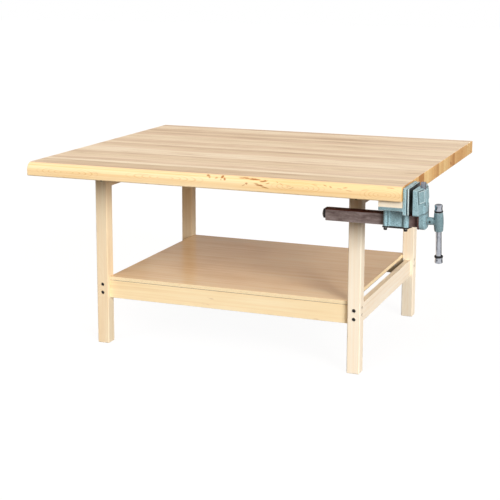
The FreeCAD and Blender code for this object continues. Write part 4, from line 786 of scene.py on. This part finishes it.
def build_front_jaw(enamel):
    """Moving casting: leaning front, two raised panels, the dog's keel and the lower boss."""
    low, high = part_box("front_jaw")
    dog_low, dog_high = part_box("dog")
    mount_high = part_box("bar_mount_plate")[1]
    washer_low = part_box("thrust_washer")[0]
    plunger_low, plunger_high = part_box("dog_set_screw")
    centre = (low.y + high.y) / 2
    screw_z = screw_line()[1]
    jaw_low = high.z - JAW_HEIGHT
    lean = JAW_FACE_TAPER / (high.z - jaw_low)
    thick = JAW_END_THICKNESS + JAW_FACE_TAPER + JAW_FACE_SPREAD
    wedge = block("wedge", low.x, low.x + thick, low.y, high.y, jaw_low, high.z)
    for side in (-1, 1):
        slice_off(wedge, (0, centre + side * KEEL_HALF_WIDTH, 0), (0, 1, 0))
    outer = high.y - centre - MM
    shift(wedge, lambda co: co.x > low.x + MM and abs(co.y - centre) > outer, (-JAW_FACE_SPREAD, 0, 0))
    shift(wedge, lambda co: co.x > low.x + MM and co.z > high.z - MM, (-JAW_FACE_TAPER, 0, 0))
    keel_low = jaw_low + KEEL_RISE
    keel_front = low.x + thick + KEEL_PROUD
    keel = leaning_block("keel", low.x + 5 * MM, keel_front - lean * KEEL_RISE, centre - KEEL_HALF_WIDTH,
                         centre + KEEL_HALF_WIDTH, keel_low, high.z, lean)
    soften(keel, 5 * MM, 3)
    parts = [wedge, keel]
    slope_start = (low.x + 2 * MM, 0, high.z)
    slope_knee = (low.x + 15 * MM, 0, high.z - JAW_SLOPE_DROP)
    for piece in parts:
        slice_off(piece, slope_start, (JAW_SLOPE_DROP, 0, JAW_SLOPE_RUN), clear=True)
        slice_off(piece, slope_knee, (JAW_SLOPE_DROP, 0, 45 * MM), clear=True)
    base = low.x + JAW_END_THICKNESS + JAW_FACE_TAPER
    spread = JAW_FACE_SPREAD / (high.y - centre - KEEL_HALF_WIDTH)
    far = high.y - centre - PANEL_END_INSET
    inner = KEEL_HALF_WIDTH + PANEL_KEEL_INSET
    front = base + spread * PANEL_END_INSET + PANEL_PROUD - lean * PANEL_RISE
    for side in (-1, 1):
        y_pair = sorted((centre + side * far, centre + side * inner))
        panel = leaning_block("panel", low.x + 8 * MM, front, *y_pair, jaw_low + PANEL_RISE,
                              high.z - PANEL_TOP_INSET, lean)
        shift(panel, lambda co: co.x > low.x + 9 * MM and abs(co.y - centre) < inner + MM,
              (spread * (far - inner), 0, 0))
        pick(panel, lambda co, normal: normal.x > 0.5, "FACE")
        bpy.ops.mesh.inset(thickness=3.2 * MM, depth=-1.6 * MM)
        leave_edit()
        parts.append(panel)
    boss_low = screw_z - BOSS_BELOW_SCREW
    boss = block("boss", mount_high.x, washer_low.x, centre - BOSS_HALF_WIDTH, centre + BOSS_HALF_WIDTH,
                 boss_low, keel_low)
    bevel_edges(boss, lambda co, way: abs(way.x) > 0.9 and co.z < boss_low + MM, BOSS_CORNER, 12)
    bevel_edges(boss, lambda co, way: co.x > washer_low.x - MM and co.z < keel_low - MM, 4.5 * MM, 2)
    parts.append(boss)
    parts.append(block("badge_pad", washer_low.x - 2 * MM, washer_low.x + 1.2 * MM, centre - BADGE_HALF_WIDTH,
                       centre + BADGE_HALF_WIDTH, jaw_low + 4 * MM, jaw_low + 29 * MM))
    plunger_z = (plunger_low.z + plunger_high.z) / 2
    parts.append(round_bar("plunger_boss", 6.5 * MM, (plunger_high.x - 9 * MM, centre, plunger_z), "X",
                           10 * MM, tip_radius=5.6 * MM))
    jaw = cast(gather("front_jaw_casting", parts), JAW_GRAIN, 3)
    cutters = [block("dog_slot", dog_low.x - 0.2 * MM, dog_high.x + 0.2 * MM, dog_low.y - 0.2 * MM,
                     dog_high.y + 0.2 * MM, dog_low.z - 15.5 * MM, high.z + MM),
               round_bar("screw_bearing", 9.55 * MM, (mount_high.x - MM, centre, screw_z), "X", 30 * MM),
               round_bar("plunger_hole", 3.05 * MM, (dog_high.x, centre, plunger_z), "X", 40 * MM)]
    bore(jaw, cutters)
    return finish_piece(jaw, enamel, "jaw_carriage", "enamelled_casting", "front_jaw")


def build_pivot_plate(enamel):
    """Turning jaw plate with rounded ends and the rib that it turns on."""
    low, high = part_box("pivot_jaw_plate")
    centre = (low.y + high.y) / 2
    back = high.x - PLATE_THICKNESS
    plate = block("swivel_plate", back, high.x, low.y, high.y, low.z, high.z)
    bevel_edges(plate, lambda co, way: abs(way.z) > 0.9, 3.9 * MM, 8)
    soften(plate, 0.9 * MM, 3, 50)
    rib_low = low.z + 5 * MM
    rib_x = low.x + PLATE_RIB_RADIUS
    rib = round_bar("rib", PLATE_RIB_RADIUS, (rib_x, centre, rib_low), "Z", high.z - rib_low)
    neck = block("neck", rib_x, back + MM, centre - 2.5 * MM, centre + 2.5 * MM, rib_low, high.z - 0.4 * MM)
    for extra in (rib, neck):
        modify(plate, "BOOLEAN", operation="UNION", solver="EXACT", object=extra)
        bpy.data.objects.remove(extra)
    smooth(plate)
    return finish_piece(plate, enamel, "pivot_plate", "enamelled_casting", "pivot_jaw_plate")


def screw_line():
    """Place across and height of the screw's axis, which the handle turns about."""
    low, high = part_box("main_screw")
    return (low.y + high.y) / 2, (low.z + high.z) / 2


def hang(piece):
    """Turn an upright hub or handle piece about the screw, to where the handle hangs."""
    make_active(piece)
    pivot = Matrix.Translation((0, *screw_line()))
    piece.matrix_world = pivot @ Matrix.Rotation(math.radians(HANDLE_LEAN), 4, "X") @ pivot.inverted()
    bpy.ops.object.transform_apply(location=True, rotation=True, scale=True)


def build_hub(enamel):
    """T-shaped hub: a waisted neck that flows into the barrel."""
    low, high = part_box("handle_hub")
    rod_low, rod_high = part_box("handle_rod")
    screw_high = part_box("main_screw")[1]
    rod_radius = (rod_high.x - rod_low.x) / 2
    centre, middle = screw_line()
    half = HUB_HALF_HEIGHT
    foot = middle - half
    barrel_x = high.x - 19 * MM
    barrel = round_bar("barrel", BARREL_RADIUS, (barrel_x, centre, foot), "Z", 2 * half, ROUND_SIDES)
    heights = [foot + 2 * half * step / BARREL_STEPS for step in range(1, BARREL_STEPS)]
    for height in heights:
        slice_off(barrel, (0, 0, height), (0, 0, 1))
    for height in heights:
        radius = BARREL_RADIUS + BARREL_SWELL * (1 - ((height - middle) / half) ** 2)
        widen(barrel, height, radius / BARREL_RADIUS, (barrel_x, centre), MM)
    neck = round_bar("neck", 15.6 * MM, (low.x, centre, middle), "X", barrel_x - low.x - 4 * MM, ROUND_SIDES,
                     tip_radius=14 * MM)
    flare = round_bar("flare", 13 * MM, (barrel_x - 24 * MM, centre, middle), "X", 16 * MM, ROUND_SIDES,
                      tip_radius=17.5 * MM)
    collar = round_bar("collar", 16 * MM, (low.x, centre, middle), "X", 5 * MM, ROUND_SIDES)
    hub = cast(gather("handle_hub_casting", [barrel, neck, flare, collar]), HUB_GRAIN, 9)
    cutters = [round_bar("rod_bore", rod_radius + BORE_CLEARANCE, (barrel_x, centre, foot - 2 * MM), "Z",
                         2 * half + 4 * MM, ROUND_SIDES),
               round_bar("screw_bore", 9.5 * MM, (low.x - MM, centre, middle), "X",
                         screw_high.x - low.x + MM),
               round_bar("set_screw_hole", 3 * MM, (low.x + HUB_SCREW_OFFSET, centre - 40 * MM, middle), "Y",
                         35.6 * MM)]
    bore(hub, cutters)
    hang(hub)
    return finish_piece(hub, enamel, "screw", "enamelled_casting", "handle_hub")


def build_lead_screw(steel):
    """Trapezoidal thread between the collar and the tail, with plain ends."""
    low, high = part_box("main_screw")
    collar_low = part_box("screw_collar")[0]
    end_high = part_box("bar_end_plate")[1]
    centre, middle = screw_line()
    crest = (high.z - low.z) / 2
    root = crest - THREAD_DEPTH
    start = end_high.x + 2 * MM
    turns = int((collar_low.x - 2 * MM - start) / THREAD_PITCH)
    leave_edit()
    bpy.ops.mesh.primitive_plane_add(size=1, location=(0, 0, 0))
    profile = bpy.context.object
    pick(profile, lambda co: co.y > 0)
    bpy.ops.mesh.delete(type="VERT")
    leave_edit()
    pick(profile, lambda co: True)
    bpy.ops.mesh.subdivide(number_cuts=3)
    leave_edit()
    shares = (0.0, 0.18, 0.5, 0.68, 1.0)
    heights = (root, crest, crest, root, root)
    order = sorted(profile.data.vertices, key=lambda vertex: vertex.co.x)
    for vertex, share, height in zip(order, shares, heights):
        vertex.co = Vector((start + share * THREAD_PITCH, 0, height))
    modify(profile, "SCREW", axis="X", angle=2 * math.pi, screw_offset=THREAD_PITCH, iterations=turns,
           steps=THREAD_STEPS, render_steps=THREAD_STEPS, use_merge_vertices=True, merge_threshold=1e-6,
           use_normal_calculate=True)
    pick(profile, lambda co: True)
    bpy.ops.transform.translate(value=(0, centre, middle))
    bpy.ops.mesh.remove_doubles(threshold=1e-6)
    bpy.ops.mesh.normals_make_consistent(inside=False)
    leave_edit()
    thread_end = start + turns * THREAD_PITCH + THREAD_PITCH
    tail = round_bar("tail", crest, (low.x, centre, middle), "X", start + MM - low.x)
    soften(tail, 0.8 * MM, 2)
    core = round_bar("core", root - 0.02 * MM, (start, centre, middle), "X", thread_end - start)
    nose = round_bar("nose", crest, (thread_end - 5 * MM, centre, middle), "X", high.x - thread_end + 5 * MM)
    soften(nose, 0.6 * MM, 2)
    screw = gather("lead_screw_thread", [profile, tail, core, nose])
    smooth(screw, 40)
    return finish_piece(screw, steel, "screw", "screw_steel", "main_screw")


def build_cap(name, node, opening_up, material):
    """Pressed handle cap: domed closed end, a groove and a rolled lip at the open end."""
    low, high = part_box(node)
    rod_low, rod_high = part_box("handle_rod")
    across, axis_z = screw_line()
    centre = ((low.x + high.x) / 2, across)
    radius = (high.x - low.x) / 2
    top = axis_z + HUB_HALF_HEIGHT + RING_TO_HUB + RING_HEIGHT + CAP_LENGTH
    closed = top - HANDLE_LENGTH if opening_up else top
    inward = 1 if opening_up else -1
    rim = closed + inward * CAP_LENGTH
    cap = round_bar(name, radius, (*centre, min(closed, rim)), "Z", CAP_LENGTH, ROUND_SIDES)
    bevel_edges(cap, lambda co, way: abs(co.z - closed) < 0.1 * MM and abs(way.z) < 0.1, 3.4 * MM, 7)
    for step, waist in ((3.0, 1.0), (3.6, 0.955), (4.8, 0.955), (5.4, 1.0)):
        height = rim - inward * step * MM
        slice_off(cap, (0, 0, height), (0, 0, 1))
        widen(cap, height, waist, centre, 0.05 * MM)
    bevel_edges(cap, lambda co, way: abs(co.z - rim) < 0.1 * MM and abs(way.z) < 0.1, 0.8 * MM, 3)
    depth = CAP_LENGTH - 6 * MM
    bore_start = rim - depth if inward > 0 else rim - MM
    bore_radius = (rod_high.x - rod_low.x) / 2 + BORE_CLEARANCE
    bore(cap, [round_bar("cap_bore", bore_radius, (*centre, bore_start), "Z", depth + MM, ROUND_SIDES)])
    hang(cap)
    smooth(cap, 30)
    return finish_piece(cap, material, "handle", "chrome", node)


def build_slide_bar(oxide):
    """Rolled channel with soft outer corners and a radius inside."""
    low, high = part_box("slide_bar")
    wall = 5 * MM
    bar = block("slide_channel", low.x, high.x, low.y, high.y, low.z, high.z)
    bevel_edges(bar, lambda co, way: abs(way.x) > 0.9 and co.z > high.z - MM, 2.6 * MM, 5)
    hollow = block("hollow", low.x - 3 * MM, high.x + 3 * MM, low.y + wall, high.y - wall,
                   low.z - 3 * MM, high.z - wall)
    bevel_edges(hollow, lambda co, way: abs(way.x) > 0.9 and co.z > high.z - wall - MM, 2 * MM, 4)
    bore(bar, [hollow])
    soften(bar, 0.7 * MM, 2, 60)
    return finish_piece(bar, oxide, "jaw_carriage", "oxidised_steel", "slide_bar")


# ---------- finishes of the imported pieces
# Paler maple of the right-hand pieces: partly their own tone, partly painted light for the brighter light on
# the right of the bench.
PALE_LIT_RIGHT = ((255, 248, 230), (253, 240, 216), (240, 216, 178))
CREAM = ((248, 234, 204), (243, 224, 190), (228, 198, 154))
WARM = ((255, 242, 206), (251, 230, 187), (236, 204, 152))
RAW = ((255, 248, 232), (253, 243, 220), (242, 224, 190))

BOARDS = (
    ("leg_front_left", "Z", 21, CREAM, 0.2),
    ("leg_front_right", "Z", 22, PALE_LIT_RIGHT, 0.1),
    ("leg_rear_left", "Z", 23, CREAM, 0.3),
    ("leg_rear_right", "Z", 24, PALE_LIT_RIGHT, 0.5),
    ("upper_end_rail_left", "Y", 31, CREAM, 0.2),
    ("upper_end_rail_right", "Y", 32, CREAM, 0.2),
    ("lower_end_rail_left", "Y", 33, CREAM, 0.3),
    ("lower_end_rail_right", "Y", 34, PALE_LIT_RIGHT, 0.3),
    ("front_rail", "X", 41, WARM, 0.6),
    ("rear_rail", "X", 42, CREAM, 0.4),
    ("shelf_cleat_front", "X", 51, CREAM, 0.2),
    ("shelf_cleat_rear", "X", 52, CREAM, 0.2),
    ("vise_spacer_block", "X", 61, RAW, 0.0),
)


def paint(material, *nodes):
    """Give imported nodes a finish."""
    for node in nodes:
        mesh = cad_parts[node].data
        mesh.materials.clear()
        mesh.materials.append(material)


def finish_packed_nodes(oxide, screw_steel, chrome):
    """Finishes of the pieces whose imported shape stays."""
    for node, grain, seed, (light, middle, dark), mineral in BOARDS:
        paint(maple(node + "_maple", grain, seed, light, middle, dark, mineral), node)
    paint(laminated_top(), "bench_top")
    paint(shelf_board(), "shelf_panel")
    black = bare_metal("black_oxide", (30, 27, 26), (18, 16, 16), (84, 76, 70), 0.3, (300, 300, 300),
                       0.5, 0.0)
    zinc = bare_metal("zinc_plate", (196, 198, 196), (160, 160, 152), (224, 224, 220), 0.25,
                      (400, 400, 400), 0.32)
    ground = bare_metal("ground_steel", (150, 154, 164), (118, 120, 132), (196, 198, 204), 0.35,
                        (40, 900, 60), 0.36, 0.7)
    bronze = bare_metal("cast_bronze", (198, 158, 96), (150, 112, 66), (226, 196, 140), 0.3,
                        (120, 700, 700), 0.38)
    paint(black, "end_frame_bolts", "long_rail_bolts", "end_frame_washers", "long_rail_washers",
          "bar_end_plate", "bar_end_screws", "hub_set_screw", "dog_set_screw", "bar_mount_screws",
          "collar_pin", "top_lag_screws", "vise_mounting_screws", "keeper_bolts", "keeper_plate")
    paint(zinc, "end_frame_nuts", "long_rail_nuts", "top_lag_washers", "cleat_screws", "shelf_screws",
          "vise_face_screws", "keeper_lock_washers", "screw_nut_screws", "thrust_washer")
    paint(ground, "dog")
    paint(bronze, "screw_nut")
    paint(oxide, "bar_mount_plate")
    paint(screw_steel, "screw_collar", "tail_collar")
    paint(chrome, "handle_rod")
    paint(soft_rubber(), "handle_ring_upper", "handle_ring_lower")
    paint(white_nylon(), "dog_friction_pad")


def build_vise():
    """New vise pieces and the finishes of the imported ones."""
    enamel = hammered_enamel("hammered_enamel")
    hub_enamel = hammered_enamel("hub_enamel", 0.76)
    jaw_enamel = hammered_enamel("jaw_enamel", 0.97, jaw=True)
    oxide = oxidised_steel()
    screw_steel = bare_metal("turned_steel", (178, 174, 168), (120, 108, 98), (210, 206, 200), 0.3,
                             (900, 40, 40), 0.34)
    chrome = bare_metal("polished_chrome", (184, 188, 196), (152, 156, 166), (214, 218, 224), 0.06,
                        (60, 60, 1200), 0.12)
    build_vise_body(enamel)
    build_front_jaw(jaw_enamel)
    build_pivot_plate(enamel)
    build_hub(hub_enamel)
    build_lead_screw(screw_steel)
    build_cap("handle_end_upper", "handle_cap_upper", False, chrome)
    build_cap("handle_end_lower", "handle_cap_lower", True, chrome)
    build_slide_bar(oxide)
    finish_packed_nodes(oxide, screw_steel, chrome)


# ---------- stage
def seen_directly(finish):
    """1 for rays from the camera, mirrors and glass, 0 for the rays that light surfaces."""
    path = finish.node("LightPath", output="Is Camera Ray")
    outputs = path.socket.node.outputs
    shown = path + Value(finish, outputs["Is Glossy Ray"]) + Value(finish, outputs["Is Transmission Ray"])
    return shown.math("MINIMUM", 1.0)


def build_floor():
    """White floor that keeps a faint shadow and gives back little light."""
    leave_edit()
    bpy.ops.mesh.primitive_plane_add(size=FLOOR_SIZE, location=(0, 0, 0))
    floor = bpy.context.object
    floor.name = "studio_floor"
    finish = Finish("studio_floor_finish", roughness=1.0, specular_ior_level=0.0)
    shown = seen_directly(finish)
    colour = finish.mix(shown, (FLOOR_BOUNCE, FLOOR_BOUNCE, FLOOR_BOUNCE, 1), (1, 1, 1, 1))
    finish.plug(finish.shader.inputs["Base Color"], colour)
    glow = finish.node("Emission", None, {"Color": (1, 1, 1, 1), "Strength": FLOOR_GLOW})
    share = shown * (1 - FLOOR_SHADOW_SHARE)
    surface = Value(finish, finish.shader.outputs["BSDF"])
    mixed = finish.node("MixShader", None, {0: share, 1: surface, 2: glow})
    finish.plug(finish.tree.nodes["Material Output"].inputs["Surface"], mixed)
    floor.data.materials.append(finish.material)


def build_card(name, x, y, bearing, width, height, grey):
    """Dark card that stands on the floor and is seen only in glossy surfaces."""
    leave_edit()
    bpy.ops.mesh.primitive_plane_add(size=1, location=(x, y, height / 2),
                                     rotation=(math.pi / 2, 0, math.radians(bearing)))
    piece = bpy.context.object
    piece.name = name
    piece.scale = (width, height, 1)
    finish = Finish(name + "_finish", base_color=(0, 0, 0, 1), roughness=1.0, specular_ior_level=0.0)
    finish.plug(finish.shader.inputs["Emission Color"], (grey, grey, grey, 1))
    finish.plug(finish.shader.inputs["Emission Strength"], 1.0)
    piece.data.materials.append(finish.material)
    piece.visible_camera = False
    piece.visible_diffuse = False
    piece.visible_shadow = False
    piece.visible_transmission = False


def light_world():
    """White backdrop for the camera and mirrors, and a low warm ambient light on surfaces."""
    world = bpy.data.worlds.new("studio")
    bpy.context.scene.world = world
    world.use_nodes = True
    finish = Finish.of_tree(world.node_tree)
    shown = seen_directly(finish)
    colour = finish.mix(shown, (*AMBIENT_TINT, 1), (1, 1, 1, 1))
    background = world.node_tree.nodes["Background"]
    finish.plug(background.inputs["Color"], colour)
    finish.plug(background.inputs["Strength"], shown * (1 - AMBIENT_STRENGTH) + AMBIENT_STRENGTH)


def add_sun(name, strength, bearing, height, softness):
    """Sun from a bearing to the right of the front, at a height above the horizon, in degrees.

    It lights surfaces and has no mirror image in them, so a low one does not whiten the flat top.
    """
    turn = math.radians(bearing)
    rise = math.radians(height)
    source = Vector((math.sin(turn) * math.cos(rise), -math.cos(turn) * math.cos(rise), math.sin(rise)))
    lamp = bpy.data.lights.new(name, "SUN")
    lamp.energy = strength
    lamp.angle = math.radians(softness)
    holder = bpy.data.objects.new(name, lamp)
    holder.rotation_euler = source.to_track_quat("Z", "Y").to_euler()
    holder.visible_glossy = False
    bpy.context.scene.collection.objects.link(holder)


def place_camera():
    """Camera a little above the top, off the vise corner, turned about its own axis to stand level."""
    data = bpy.data.cameras.new("camera")
    data.lens = CAMERA_LENS
    data.shift_y = CAMERA_SHIFT_UP
    data.clip_end = 100
    camera = bpy.data.objects.new("camera", data)
    aim = Euler((math.pi / 2 - CAMERA_DIP, 0, CAMERA_PAN)).to_matrix() @ Matrix.Rotation(CAMERA_TILT, 3, "Z")
    camera.location = CAMERA_PLACE
    camera.rotation_euler = aim.to_euler()
    bpy.context.scene.collection.objects.link(camera)
    bpy.context.scene.camera = camera


def set_stage():
    """Camera, floor, backdrop, cards and lamps."""
    bpy.context.scene.view_settings.view_transform = "Standard"
    place_camera()
    build_floor()
    for card in CARDS:
        build_card(*card)
    light_world()
    for lamp in LAMPS:
        add_sun(*lamp)


set_stage()
build_vise()
leave_edit()
